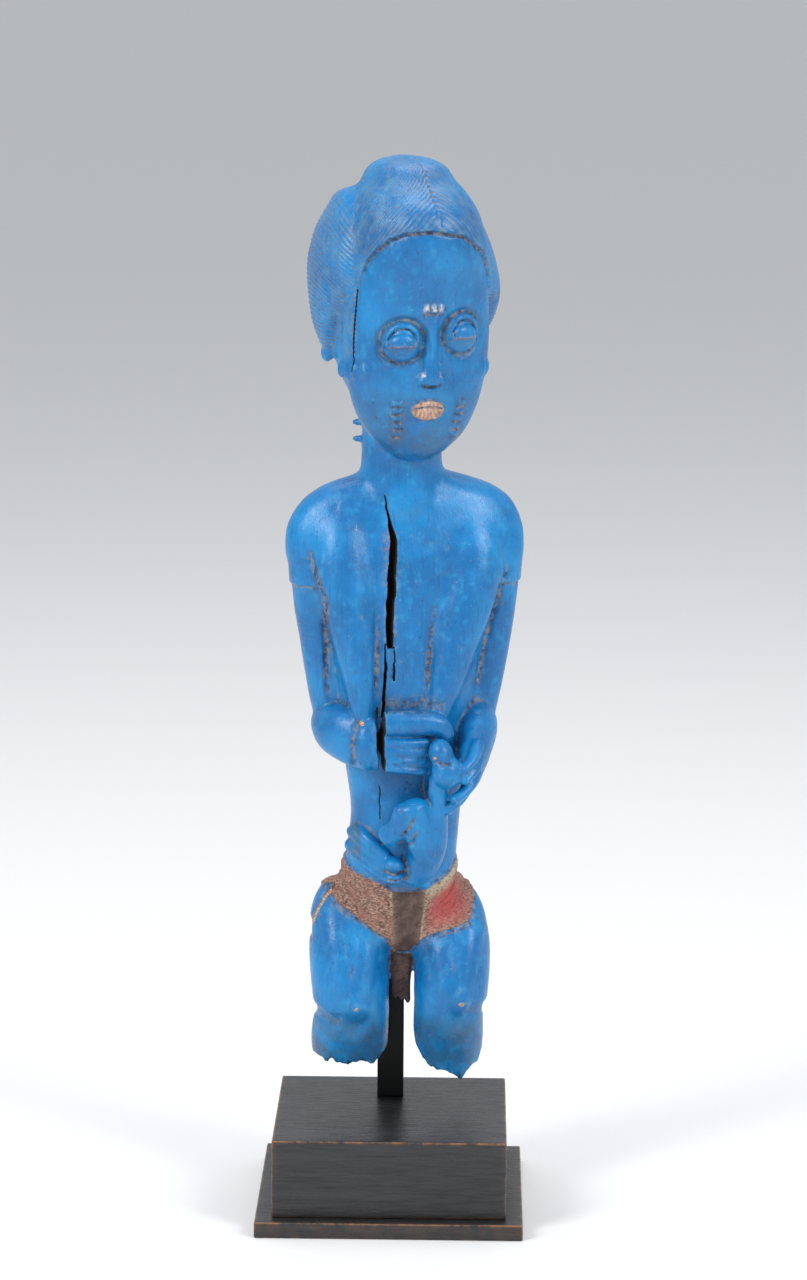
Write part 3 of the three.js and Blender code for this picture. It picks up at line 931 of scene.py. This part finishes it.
def carve_scars(skin, across, level, front, forward):
    for side in SIDES:
        for bar in range(SCAR_BARS):
            if side < 0:
                middle, height, half = -14.1 + 0.2 * bar, 371.2 - 3.45 * bar, 2.5 - 0.15 * bar
            else:
                middle, height, half = 16.6 - 0.75 * bar, 370.6 - 3.5 * bar, 2.7 - 0.12 * bar
            bar_shape = hollow(level, height, 1.45) * np.clip(1 - ((across - middle) / half) ** 4, 0, 1)
            skin.move += np.outer(1.25 * bar_shape * front, forward)
            # Painted shade in the gap under each bar.
            gap = hollow(level, height - 1.7, 0.8) * (np.abs(across - middle) < half + 0.4)
            skin.painted("dirt_and_shade", 0.95 * gap * front)
            skin.painted("edge", 0.35 * bar_shape * front)
    for middle in (-4.3, -1.0, 2.3):
        bump = hollow(across, middle, 1.6) * hollow(level, 412.8, 2.5)
        skin.move += np.outer(1.5 * bump * front, forward)
        # Painted highlight on the upper half of each forehead scar, and painted shade in the line under them.
        skin.painted("painted_highlight", bump * front * (level > 412.2))
        skin.painted("dirt_and_shade", 0.9 * front * hollow(level, 411.0, 1.0) * (np.abs(across + 1.0) < 5))


HAIRLINE = [
    (-33.0, 392.0), (-29.6, 424.0), (-27.4, 433.4), (-25.0, 438.5), (-21.0, 443.6), (-14.6, 446.6),
    (-5.2, 447.4), (9.3, 445.4), (21.4, 437.8), (26.9, 430.5), (30.0, 420.0), (33.0, 392.0),
]
CREST_OVERHANG = 1.7
STRAND_DEPTH = 0.5


def hairline(across):
    line = np.array(HAIRLINE)
    return np.interp(across, line[:, 0], line[:, 1])


def on_crest(across, depth, level):
    """Under 1 inside the crest, and over it outside."""
    knots = np.array(CREST)
    x, y, w, d = (np.interp(level, knots[:, 2], knots[:, column]) for column in (0, 1, 3, 4))
    return ((across - x) / w) ** 2 + ((depth - y) / d) ** 2


def carve_hair(skin):
    across, depth, level = skin.within(HEAD).T
    above = level - hairline(across)
    front = depth < -6
    crest = (on_crest(across, depth, level) < 1.16) | (level > 470)
    crest &= (above > 0) | ~front
    crest &= level > 415
    skull = (level > 392) & ~crest
    lobe = skull & (np.abs(across) > 24) & (depth < 24) & (depth > -27) & (np.abs(across) > 30.6 - 0.5 * (level > 450))
    back = skull & (depth > 10) & ~lobe
    edge = smooth_step(above, 0.0, 0.5) * (1 - smooth_step(above, 4, 16)) * front * (np.abs(across) < 30)
    skin.raised(CREST_OVERHANG * edge)
    # Painted shadow: a dark line under the crest's overhanging edge.
    shadow = hollow(above, -0.7, 1.1) * front * (np.abs(across) < 28.5)
    skin.raised(-0.5 * shadow)
    skin.painted("dirt_and_shade", shadow)
    parting = -1.4
    round_crest = 27 * np.arctan2(across - parting, -(depth + 14))
    up_crest = 38 * np.arctan2(level - 436, -(depth + 8))
    run = np.abs(round_crest)
    phase = np.where(crest, (up_crest + 0.95 * run + 0.014 * run**2) / 2.75, 0)
    lift = np.clip(12 - depth, 0, 60)
    phase = np.where(lobe, (level + 0.0125 * lift**2) / 2.15, phase)
    phase = np.where(back, (level + 0.8 * np.abs(across)) / 2.7, phase)
    phase += 0.16 * rough(skin.place, 5.0, 21)
    wave = np.abs(np.sin(math.pi * phase))
    hair = crest | lobe | back
    depth_here = STRAND_DEPTH * (0.7 + 0.45 * rough(skin.place, 7.0, 22)) * hair
    depth_here *= np.where(crest & front, smooth_step(above, 0.3, 1.2), 1)
    skin.raised(depth_here * (wave**0.8 - 0.7))
    skin.painted("strand", hair * (1 - wave) ** 1.5)
    seam = hollow(run, 0, 0.9) * crest * (level > 449)
    skin.raised(-0.35 * seam)
    skin.painted("hair", hair * 1.0)


BREAST_GROOVES = {
    -1: [(-15.6, 286), (-16.0, 264), (-16.3, 237), (-16.4, 228)],
    1: [(12.6, 290), (7.6, 265), (5.9, 237), (5.6, 229)],
}
ARM_CREASES = {
    -1: [(-46.1, 306), (-42.0, 292), (-39.3, 281.8), (-37.4, 262), (-36.9, 242), (-35.5, 232)],
    1: [(44.5, 297), (42.0, 286), (34.8, 258.7), (31.3, 237)],
}
BREAST_RIDGES = {
    -1: [(-44.0, 299), (-36.7, 269.4), (-26.7, 228.6)],
    1: [(41.1, 289.8), (33.9, 272.9), (25.8, 250.3), (19.1, 232.7)],
}
SLEEVE_HEM = 286.8


def carve_chest(skin):
    across, depth, level = skin.within(CHEST).T
    front = (depth < -3) & (level < 335) & (level > 195)
    flat = np.stack([across, level], 1)
    for side in SIDES:
        groove = stroke(flat, BREAST_GROOVES[side], 2.4, 0.3) * front * (depth < -12)
        skin.raised(-0.85 * groove)
        # Painted shade in the grooves beside the breasts, darkest low down.
        skin.painted("dirt_and_shade", smooth_step(groove, 0.55, 1.0) * smooth_step(278 - level, 0, 25))
        crease = stroke(flat, ARM_CREASES[side], 1.7, 0.08) * front
        skin.raised(-0.8 * crease)
        # Painted shade in the creases by the arms.
        skin.painted("dirt_and_shade", 0.9 * smooth_step(crease, 0.3, 1))
        skin.raised(0.55 * stroke(flat, BREAST_RIDGES[side], 3.0, 0.25) * front * (depth < -8))
        beside = side * across
        arm = smooth_step(beside, 39.2, 40.6) * (level > 270) * (level < 320)
        arm = np.where(depth > 0, smooth_step(beside, 34.0, 36.0) * (level > 270) * (level < 320), arm)
        hem = smooth_step(level, SLEEVE_HEM - 0.35, SLEEVE_HEM + 0.35) * (1 - smooth_step(level, 292, 308))
        skin.raised(1.0 * arm * hem)
        # Painted shade under the sleeve's hem.
        skin.painted("dirt_and_shade", 0.75 * arm * hollow(level, SLEEVE_HEM - 0.7, 0.8))
    wrist = stroke(flat, [(-24.6, 230), (-27.6, 222), (-28.2, 216), (-26.8, 206)], 1.4) * (depth < -6)
    skin.raised(-0.9 * wrist)
    # Painted shade in the wrist's crease.
    skin.painted("dirt_and_shade", 0.8 * wrist)
    nipple = hollow(np.hypot(across + 23.9, level - 227.2), 0, 1.5) * (depth < -15)
    skin.raised(0.9 * nipple)
    skin.painted("bare", nipple)
    rim = hollow(across + 10.4, 0, 3.2) * (level > 262) * (level < 312) * (depth < -14)
    skin.painted("wear", 0.55 * rim)
    # A dark band along the top of the hand, on the chest and the thumb.
    dark_band_above_hand = hollow(level, 234.5, 3.0) * (across > -14) * (across < 14) * (depth < -18)
    skin.painted("dirt_and_shade", 0.7 * dark_band_above_hand)


CHILD_LINES = [
    [(-1.8, 186.8), (-4.6, 181.0), (-7.2, 176.6)],
    [(-0.9, 180.9), (-2.2, 175.4), (-5.0, 171.2), (-15.5, 171.0)],
    [(-14.0, 159.4), (-9.0, 158.6), (-4.6, 159.6)],
    [(-13.4, 156.4), (-9.0, 155.4), (-5.0, 156.2)],
    [(-12.6, 153.8), (-8.6, 153.0), (-5.4, 153.8)],
    [(-4.4, 166.0), (-3.4, 160.0), (-3.8, 154.0)],
    [(6.6, 211.8), (10.0, 210.8), (15.0, 211.4)],
    [(4.9, 205.0), (4.6, 196.0), (5.8, 190.0)],
]


def carve_child(skin):
    across, depth, level = skin.within(CHEST).T
    front = (depth < -18) & (level > 148) & (level < 222)
    flat = np.stack([across, level], 1)
    for path in CHILD_LINES:
        line = stroke(flat, path, 0.9) * front
        skin.raised(-0.75 * line)
        # Painted shade in the child's carved grooves.
        skin.painted("dirt_and_shade", 0.9 * line)
    spot = hollow(np.hypot(across - 6.8, level - 213.4), 0, 1.1) * front
    skin.painted("bare", spot)
    knobs = (across < -22.8) & (level > 163) & (level < 179) & (depth < 0)
    skin.painted("grime_and_shade", 0.95 * knobs)


CLOTH_MIDDLE = (-0.6, 1.0)
CLOTH_TOP = [
    (-180, 163), (-100, 162.5), (-80, 161.5), (-54, 157.6), (-15, 151.9), (-5, 148.8), (33, 149.4), (52, 153),
    (80, 159.7), (100, 161.5), (180, 163),
]
CLOTH_LOW = [
    (-180, 136), (-110, 143), (-88, 147), (-80, 144), (-68, 139.4), (-41.5, 132.1), (-15, 125.4), (-8, 118),
    (23, 118.5), (36, 125.1), (67, 132.4), (80, 139), (95, 144), (110, 143), (180, 136),
]
TAIL_END = [(-3.4, 2.4), (-1.2, 0.6), (0.0, 2.2), (1.4, -0.4), (2.8, 1.0), (4.0, -1.8), (6.0, -2.4)]


def carve_cloth(skin):
    across, depth, level = skin.within(LEGS).T
    round_hips = np.degrees(np.arctan2(across - CLOTH_MIDDLE[0], CLOTH_MIDDLE[1] - depth))
    top = np.interp(round_hips, *np.array(CLOTH_TOP, float).T)
    low = np.interp(round_hips, *np.array(CLOTH_LOW, float).T)
    near = (level > 112) & (level < 168) & (np.hypot(across, depth) > 6)
    child_in_front = skin.within(CHEST)[:, 1] < -23.5
    band = smooth_step(level - low, 0, 0.7) * smooth_step(top - level, 0, 0.7) * near
    band *= ~((child_in_front) & (level > 149))
    tail = (across > -3.5) & (across < 6.6) & (level < 127) & (level > 86) & (depth < 6) & (depth > -11)
    panel = hollow(round_hips, 14, 19.5) ** 0.25 * (level < 148.6) * (depth < 0) * band
    across_band = (level - low) / np.maximum(top - low, 4)
    arc = np.radians(round_hips) * 26
    fibre = np.stack([arc / 7.0, across_band * 13, across_band * 0], 1)
    hanging = np.stack([across / 0.9, level / 9.0, across * 0], 1)
    weave = 0.42 * rough(fibre, 1.0, 31) + 0.22 * rough(fibre * (2.2, 2.4, 1), 1.0, 32)
    weave = np.where(tail, 0.35 * rough(hanging, 1.0, 33) + 0.15 * rough(hanging * 2.1, 1.0, 34), weave)
    cloth = np.maximum(band, tail)
    skin.raised(0.7 * band + cloth * (1 - 0.7 * panel) * weave - 0.35 * panel)
    skin.move[:, 2] += tail * (1 - smooth_step(level, 91, 100)) * np.interp(across, *np.array(TAIL_END).T)
    skin.painted("cloth", cloth)
    skin.painted("panel", np.maximum(panel, tail * 0.75))
    red = hollow(round_hips, 62, 26) * hollow(across_band, 0.45, 0.42) * band
    skin.painted("red", red)
    skin.painted("pale", band * smooth_step(across_band, 0.6, 0.95) * (round_hips > 35) * (round_hips < 100))
    for edge in (-5.0, 33.0):
        line = hollow(round_hips, edge + 0.12 * (140 - level), 1.3) * band * (level > 124) * (level < 149)
        skin.painted("pale", 0.9 * line)
    # Painted shade along the loincloth's lower and upper borders.
    skin.painted("dirt_and_shade", near * 0.9 * np.maximum(hollow(level, low - 0.6, 1.3), hollow(level, top + 0.5, 0.9)))


KNEES = {-1: (-18.4, 94.8), 1: (28.4, 97.8)}
THIGH_RIDGES = {
    -1: [
        [(-33.9, 144), (-27.6, 118), (-25.9, 106), (-19.7, 94)],
        [(-12.9, 132), (-14.4, 114), (-16.6, 102), (-18.2, 94)],
    ],
    1: [
        [(18.2, 128), (20.6, 114), (23.1, 102.5), (27.0, 97.6)],
        [(36.7, 138), (30.8, 110.5), (29.6, 98)],
    ],
}
KNEE_NOTCHES = {
    -1: [(-44, 92.5), (-37, 90.8), (-31, 88.5), (-25, 88.0)],
    1: [(46, 94.5), (39, 92.4), (34.5, 94.0), (31.5, 96.0)],
}
HIP_SPLIT = [(-28.3, 147.9), (-33.8, 142.5), (-37.8, 135.5), (-40.6, 128), (-40.0, 121)]


def carve_legs(skin):
    across, depth, level = skin.within(LEGS).T
    front = (depth < -4) & (level < 148)
    flat = np.stack([across, level], 1)
    for side in SIDES:
        for ridge in THIGH_RIDGES[side]:
            skin.raised(1.15 * stroke(flat, ridge, 5.5, 0.25) * front * (depth < -6))
        gap = np.hypot(across - KNEES[side][0], (level - KNEES[side][1]) * 0.8)
        knee = hollow(gap, 0, 6.0) * front
        skin.raised(1.7 * knee)
        under = hollow(np.hypot(across - KNEES[side][0], (level - KNEES[side][1] + 7.5)), 0, 8.0) * front
        skin.raised(-0.9 * under)
        chip = hollow(np.hypot((across - KNEES[side][0]) * 0.55, level - KNEES[side][1] + 0.4), 0, 1.9) * front
        skin.painted("bare", chip * (0.6 + 0.6 * rough(skin.place, 1.4, 41)))
        notch = stroke(flat, KNEE_NOTCHES[side], 4.0, 0.05) * (depth < 8)
        skin.raised(-1.3 * notch)
        # Painted shade in the notches under the knees.
        skin.painted("dirt_and_shade", 0.35 * smooth_step(notch, 0.6, 1))
    split = stroke(flat, HIP_SPLIT, 1.2, 0.05) * (level < 150) * (level > 118) * (depth < 16)
    skin.raised(-1.2 * split)
    # Painted shade in the hip's split.
    skin.painted("dirt_and_shade", split)
    skin.painted("bare", 0.6 * split)
    # Grey grime and painted shade on the shanks below the knees.
    skin.painted("grime_and_shade", (1 - smooth_step(level, 84, 95)) * (depth < 4) * 0.8)
    # Painted shade between the thighs, under the loincloth.
    skin.painted("grime_and_shade", 0.55 * front * hollow(level, 128, 14) * (np.abs(across - 1.5) < 14))


def carve_surface(skin):
    """What the knife and the years left all over."""
    bumps = 0.28 * rough(skin.place, 13.0, 51) + 0.08 * rough(skin.place, 4.5, 52)
    pits = np.clip(rough(skin.place, 1.6, 53) - 0.72, 0, 1) * 1.6
    hair = skin.layers["hair"] > 0
    skin.raised(bumps - np.where(hair, 0, pits))
    # Painted shade in the pits.
    skin.painted("dirt_and_shade", np.where(hair, 0, 1.2 * pits))


def lay_dirt_and_shade(skin):
    """Dirt and painted shade where the skin is hollow, and wear where it stands out."""
    ends, count = neighbours(skin.mesh)
    gap = mean_of_neighbours(skin.place, ends, count) - skin.place
    length = np.linalg.norm(skin.place[ends[:, 0]] - skin.place[ends[:, 1]], axis=1) ** 2
    spacing = (np.bincount(ends[:, 0], length, len(count)) + np.bincount(ends[:, 1], length, len(count))) / count
    bend = (2 * np.einsum("ij,ij->i", gap, skin.normal) / spacing)[:, None]
    for _ in range(3):
        bend = 0.5 * bend + 0.5 * mean_of_neighbours(bend, ends, count)
    fine = bend[:, 0]
    wide = skin.place.copy()
    for _ in range(26):
        wide += 0.6 * (mean_of_neighbours(wide, ends, count) - wide)
    broad = np.einsum("ij,ij->i", wide - skin.place, skin.normal)
    # Painted shade and dirt in the fine creases and in the broad hollows between forms.
    skin.painted("dirt_and_shade", smooth_step(fine, 0.22, 0.9))
    skin.painted("dirt_and_shade", 0.8 * smooth_step(broad, 0.12, 0.6))
    skin.painted("edge", np.maximum(smooth_step(-fine, 0.25, 0.9), 0.8 * smooth_step(-broad, 0.15, 0.7)))


def keep_layers(skin):
    for name, amount in skin.layers.items():
        layer = skin.mesh.attributes.new(name, "FLOAT", "POINT")
        layer.data.foreach_set("value", np.clip(amount, 0, 1).astype(np.float32))


def thinned(made):
    """Fewer triangles where the skin is plain."""
    made.data.calc_loop_triangles()
    share = MOST_TRIANGLES / len(made.data.loop_triangles)
    if share < 1:
        fewer = made.modifiers.new("fewer", "DECIMATE")
        fewer.ratio = share
        apply_modifiers(made)


def make_figure(paint, split_wood):
    figure = figure_skin()
    figure.name = "painted_figure"
    for material in (paint, split_wood):
        figure.data.materials.append(material)
    cut_away(figure, figure_cuts())
    finer(figure, finely_carved)
    relax(figure.data, 2)
    skin = Skin(figure.data)
    for carve in (carve_face, carve_hair, carve_chest, carve_child, carve_legs, carve_cloth, carve_surface):
        carve(skin)
    skin.carved()
    relax(figure.data, 1, factor=0.25)
    skin = with_layers(Skin(figure.data), skin.layers)
    lay_dirt_and_shade(skin)
    keep_layers(skin)
    thinned(figure)
    for face in figure.data.polygons:
        face.use_smooth = True
    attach(figure, "root")
    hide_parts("figure")
    return figure


def with_layers(skin, layers):
    skin.layers = layers
    return skin


# Materials.


def srgb(code):
    """A linear colour from the six digits of a screen colour."""
    parts = [int(code[i : i + 2], 16) / 255 for i in (0, 2, 4)]
    return (*[p / 12.92 if p <= 0.04045 else ((p + 0.055) / 1.055) ** 2.4 for p in parts], 1.0)


class Recipe:
    """A material and short words for the nodes that it is made of."""

    def __init__(self, name):
        self.material = bpy.data.materials.new(name)
        self.material.use_nodes = True
        self.nodes = self.material.node_tree.nodes
        self.links = self.material.node_tree.links
        self.surface = self.nodes["Principled BSDF"]
        self.place = self.nodes.new("ShaderNodeTexCoord").outputs["Object"]

    def join(self, value, socket):
        if isinstance(value, bpy.types.NodeSocket):
            self.links.new(value, socket)
        else:
            socket.default_value = value

    def scaled(self, scale, turn=(0.0, 0.0, 0.0)):
        mapping = self.nodes.new("ShaderNodeMapping")
        self.links.new(self.place, mapping.inputs["Vector"])
        mapping.inputs["Scale"].default_value = scale
        mapping.inputs["Rotation"].default_value = turn
        return mapping.outputs["Vector"]

    def noise(self, scale, detail=3.0, roughness=0.55, place=None, warp=0.0):
        node = self.nodes.new("ShaderNodeTexNoise")
        self.links.new(place or self.place, node.inputs["Vector"])
        node.inputs["Scale"].default_value = scale
        node.inputs["Detail"].default_value = detail
        node.inputs["Roughness"].default_value = roughness
        node.inputs["Distortion"].default_value = warp
        return node.outputs["Fac"]

    def cells(self, scale, place=None):
        node = self.nodes.new("ShaderNodeTexVoronoi")
        node.feature = "DISTANCE_TO_EDGE"
        self.links.new(place or self.place, node.inputs["Vector"])
        node.inputs["Scale"].default_value = scale
        return node.outputs["Distance"]

    def layer(self, name):
        node = self.nodes.new("ShaderNodeAttribute")
        node.attribute_name = name
        return node.outputs["Fac"]

    def steps(self, value, low, high):
        """0 below `low`, 1 above `high` and smooth between them."""
        node = self.nodes.new("ShaderNodeMapRange")
        node.interpolation_type = "SMOOTHSTEP"
        node.inputs["From Min"].default_value = low
        node.inputs["From Max"].default_value = high
        self.links.new(value, node.inputs["Value"])
        return node.outputs["Result"]

    def sums(self, operation, first, second):
        node = self.nodes.new("ShaderNodeMath")
        node.operation = operation
        node.use_clamp = True
        self.join(first, node.inputs[0])
        self.join(second, node.inputs[1])
        return node.outputs["Value"]

    def mixed(self, share, first, second):
        node = self.nodes.new("ShaderNodeMix")
        node.data_type = "RGBA"
        self.join(share, node.inputs["Factor"])
        self.join(first, node.inputs["A"])
        self.join(second, node.inputs["B"])
        return node.outputs["Result"]

    def bump(self, height, strength, distance, under=None):
        node = self.nodes.new("ShaderNodeBump")
        node.inputs["Strength"].default_value = strength
        node.inputs["Distance"].default_value = distance
        self.links.new(height, node.inputs["Height"])
        if under is not None:
            self.links.new(under, node.inputs["Normal"])
        return node.outputs["Normal"]

    def finish(self, colour, roughness, normal=None):
        self.join(colour, self.surface.inputs["Base Color"])
        self.join(roughness, self.surface.inputs["Roughness"])
        if normal is not None:
            self.links.new(normal, self.surface.inputs["Normal"])
        return self.material


def blue_enamel():
    """Glossy blue paint over carved wood, rubbed at the edges and dirty in the hollows, with painted shade in its
    creases and hollows and painted highlights on a few small tops.
    """
    r = Recipe("blue_enamel")
    broad = r.noise(38.0, 3.0)
    mottle = r.noise(210.0, 4.0, 0.6)
    brushed = r.noise(1.0, 3.0, 0.6, r.scaled((900.0, 900.0, 70.0)))
    grain = r.noise(1.0, 2.0, 0.5, r.scaled((2600.0, 2600.0, 260.0)))
    fine = r.noise(1500.0, 2.0, 0.6)
    colour = r.mixed(r.steps(broad, 0.35, 0.68), srgb("0465a2"), srgb("0a80bf"))
    colour = r.mixed(r.sums("MULTIPLY", r.steps(mottle, 0.5, 0.75), 0.55), colour, srgb("1a93c8"))
    colour = r.mixed(r.sums("MULTIPLY", r.steps(brushed, 0.52, 0.72), 0.45), colour, srgb("064f86"))
    colour = r.mixed(r.sums("MULTIPLY", r.steps(r.noise(620.0, 3.0, 0.7), 0.66, 0.74), 0.5), colour, srgb("8fa39c"))
    colour = r.mixed(r.sums("MULTIPLY", r.steps(r.noise(830.0, 2.0, 0.7), 0.68, 0.75), 0.7), colour, srgb("0a2436"))
    # Grey grime, and painted shade around the eye sockets, on the shanks and between the thighs.
    grime_and_shade = r.sums("MULTIPLY", r.layer("grime_and_shade"), r.steps(r.noise(95.0, 4.0, 0.65), 0.3, 0.62))
    colour = r.mixed(r.sums("MULTIPLY", grime_and_shade, 0.62), colour, srgb("3d4a50"))
    strand = r.sums("MULTIPLY", r.layer("strand"), r.steps(mottle, 0.3, 0.62))
    colour = r.mixed(r.sums("MULTIPLY", strand, 0.8), colour, srgb("7d7a6e"))
    worn = r.sums("MULTIPLY", r.layer("wear"), r.steps(r.noise(700.0, 3.0, 0.7), 0.45, 0.6))
    colour = r.mixed(worn, colour, srgb("a9764e"))
    rubbed = r.sums("MULTIPLY", r.layer("edge"), r.steps(mottle, 0.46, 0.66))
    colour = r.mixed(r.sums("MULTIPLY", rubbed, 0.5), colour, srgb("5aa3bd"))
    # Dark brown and beige dirt, and painted shade in the creases, grooves, pits and hollows.
    dirt_and_shade_share = r.sums("MULTIPLY", r.layer("dirt_and_shade"), r.steps(r.noise(520.0, 4.0, 0.7), 0.3, 0.58))
    dirt_and_shade_colour = r.mixed(r.steps(r.noise(330.0, 3.0, 0.6), 0.4, 0.62), srgb("33271f"), srgb("8e8272"))
    colour = r.mixed(dirt_and_shade_share, colour, dirt_and_shade_colour)
    # Painted highlights, whitish, on the tops of the nose's wings and of the forehead scars.
    painted_highlight = r.sums("MULTIPLY", r.layer("painted_highlight"), r.steps(r.noise(900.0, 3.0, 0.7), 0.35, 0.55))
    colour = r.mixed(painted_highlight, colour, srgb("cfcabd"))
    bare = r.steps(r.layer("bare"), 0.35, 0.6)
    colour = r.mixed(bare, colour, r.mixed(r.steps(fine, 0.4, 0.6), srgb("a2592c"), srgb("d9b48c")))
    lips = r.mixed(r.steps(r.noise(1.0, 3.0, 0.6, r.scaled((900.0, 900.0, 200.0))), 0.35, 0.65),
                   srgb("8f6a58"), srgb("cdaa94"))
    colour = r.mixed(r.sums("MULTIPLY", r.layer("lip"), r.sums("SUBTRACT", 1.0, dirt_and_shade_share)), colour, lips)
    cloth, cloth_colour = red_cloth(r)
    colour = r.mixed(cloth, colour, cloth_colour)
    dull = r.sums("MAXIMUM", r.sums("MAXIMUM", dirt_and_shade_share, cloth), r.sums("MULTIPLY", bare, 0.8))
    gloss = r.mixed(r.steps(mottle, 0.35, 0.7), (0.27, 0.27, 0.27, 1.0), (0.42, 0.42, 0.42, 1.0))
    roughness = r.mixed(dull, gloss, (0.85, 0.85, 0.85, 1.0))
    normal = r.bump(r.sums("ADD", r.sums("MULTIPLY", brushed, 0.6), r.sums("MULTIPLY", grain, 0.4)), 0.35, 0.0004)
    normal = r.bump(fine, 0.25, 0.0003, normal)
    return r.finish(colour, roughness, normal)


def red_cloth(r):
    """The loincloth's worn red and brown, as a share and a colour."""
    threads = r.noise(1.0, 4.0, 0.7, r.scaled((700.0, 700.0, 1500.0), (0.0, 0.6, 0.0)))
    blot = r.noise(160.0, 3.0, 0.6)
    colour = r.mixed(r.steps(threads, 0.38, 0.62), srgb("5e4036"), srgb("a98877"))
    colour = r.mixed(r.sums("MULTIPLY", r.steps(blot, 0.45, 0.65), 0.5), colour, srgb("8d5a50"))
    red = r.sums("MULTIPLY", r.layer("red"), r.steps(threads, 0.2, 0.5))
    colour = r.mixed(red, colour, srgb("b04a4c"))
    pale = r.sums("MULTIPLY", r.layer("pale"), r.steps(threads, 0.3, 0.55))
    colour = r.mixed(pale, colour, srgb("b3a58e"))
    panel = r.mixed(r.steps(blot, 0.4, 0.7), srgb("41342f"), srgb("625149"))
    colour = r.mixed(r.layer("panel"), colour, panel)
    # Painted shade and dirt in the cloth's hollows and along its borders.
    hollows = r.sums("MULTIPLY", r.layer("dirt_and_shade"), 0.75)
    colour = r.mixed(hollows, colour, srgb("2a201b"))
    return r.steps(r.layer("cloth"), 0.35, 0.65), colour


def split_wood():
    """Dark old wood inside the splits and on the broken ends."""
    r = Recipe("split_wood")
    fibres = r.noise(1.0, 4.0, 0.65, r.scaled((900.0, 900.0, 90.0)))
    colour = r.mixed(r.steps(fibres, 0.35, 0.7), srgb("120c09"), srgb("3a281c"))
    return r.finish(colour, 0.9, r.bump(fibres, 0.8, 0.001))


def black_wood():
    """Black stained wood with its grain along X, rubbed through to brown on the edges."""
    r = Recipe("black_stained_wood")
    pores = r.noise(1.0, 4.0, 0.7, r.scaled((70.0, 900.0, 1100.0)))
    figure = r.noise(1.0, 3.0, 0.5, r.scaled((14.0, 160.0, 220.0)), 0.6)
    colour = r.mixed(r.steps(pores, 0.35, 0.7), srgb("2b2b2d"), srgb("19191a"))
    colour = r.mixed(r.sums("MULTIPLY", r.steps(figure, 0.4, 0.7), 0.5), colour, srgb("343437"))
    rub = r.sums("MULTIPLY", r.layer("rub"), r.steps(r.noise(160.0, 4.0, 0.7), 0.35, 0.6))
    colour = r.mixed(rub, colour, srgb("a4714a"))
    roughness = r.mixed(r.steps(pores, 0.4, 0.7), (0.26, 0.26, 0.26, 1.0), (0.40, 0.40, 0.40, 1.0))
    normal = r.bump(pores, 0.35, 0.0006)
    return r.finish(colour, roughness, normal)


def black_steel():
    """A steel bar under matt black paint."""
    r = Recipe("black_steel")
    drawn = r.noise(1.0, 3.0, 0.6, r.scaled((900.0, 900.0, 45.0)))
    colour = r.mixed(r.steps(drawn, 0.35, 0.7), srgb("060708"), srgb("0e0f10"))
    r.surface.inputs["Specular IOR Level"].default_value = 0.25
    return r.finish(colour, 0.42, r.bump(drawn, 0.2, 0.0002))


# Stand.

EDGE_RADIUS = {"base_block": 0.9, "base_plate": 0.8, "support_rod": 0.5}


def stand_piece(name, node, material):
    """A block with softened edges in the place of a plain one, with its worn edges marked."""
    low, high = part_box(node)
    size = high - low
    bm = bmesh.new()
    bmesh.ops.create_cube(bm, size=1.0)
    shape = Matrix.Translation((low + high) / 2) @ Matrix.Diagonal((*size, 1.0))
    bmesh.ops.transform(bm, matrix=shape, verts=bm.verts)
    radius = EDGE_RADIUS[node] * MM
    bmesh.ops.bevel(
        bm, geom=bm.edges[:], offset=radius, segments=3, profile=0.5, affect="EDGES", material=-1
    )
    longest = [edge for edge in bm.edges if edge.calc_length() > 6 * MM]
    bmesh.ops.subdivide_edges(bm, edges=longest, cuts=40, use_grid_fill=True)
    piece = new_object(name, bm)
    mesh = piece.data
    place = points(mesh) * MM
    inset = np.minimum(place - np.array(low), np.array(high) - place)
    near = np.sort(inset, axis=1)[:, 1]
    top = place[:, 2] > high.z - 3 * radius
    rub = np.clip(1 - near / (1.1 * radius), 0, 1) * np.where(top, 1.0, 0.45)
    layer = mesh.attributes.new("rub", "FLOAT", "POINT")
    layer.data.foreach_set("value", rub.astype(np.float32))
    mesh.materials.append(material)
    for face in mesh.polygons:
        face.use_smooth = True
    mesh.set_sharp_from_angle(angle=math.radians(50))
    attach(piece, "root")
    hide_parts(node)


def main():
    make_camera()
    make_floor()
    make_light()
    make_figure(blue_enamel(), split_wood())
    wood = black_wood()
    stand_piece("stand_block", "base_block", wood)
    stand_piece("stand_plate", "base_plate", wood)
    stand_piece("stand_rod", "support_rod", black_steel())


main()
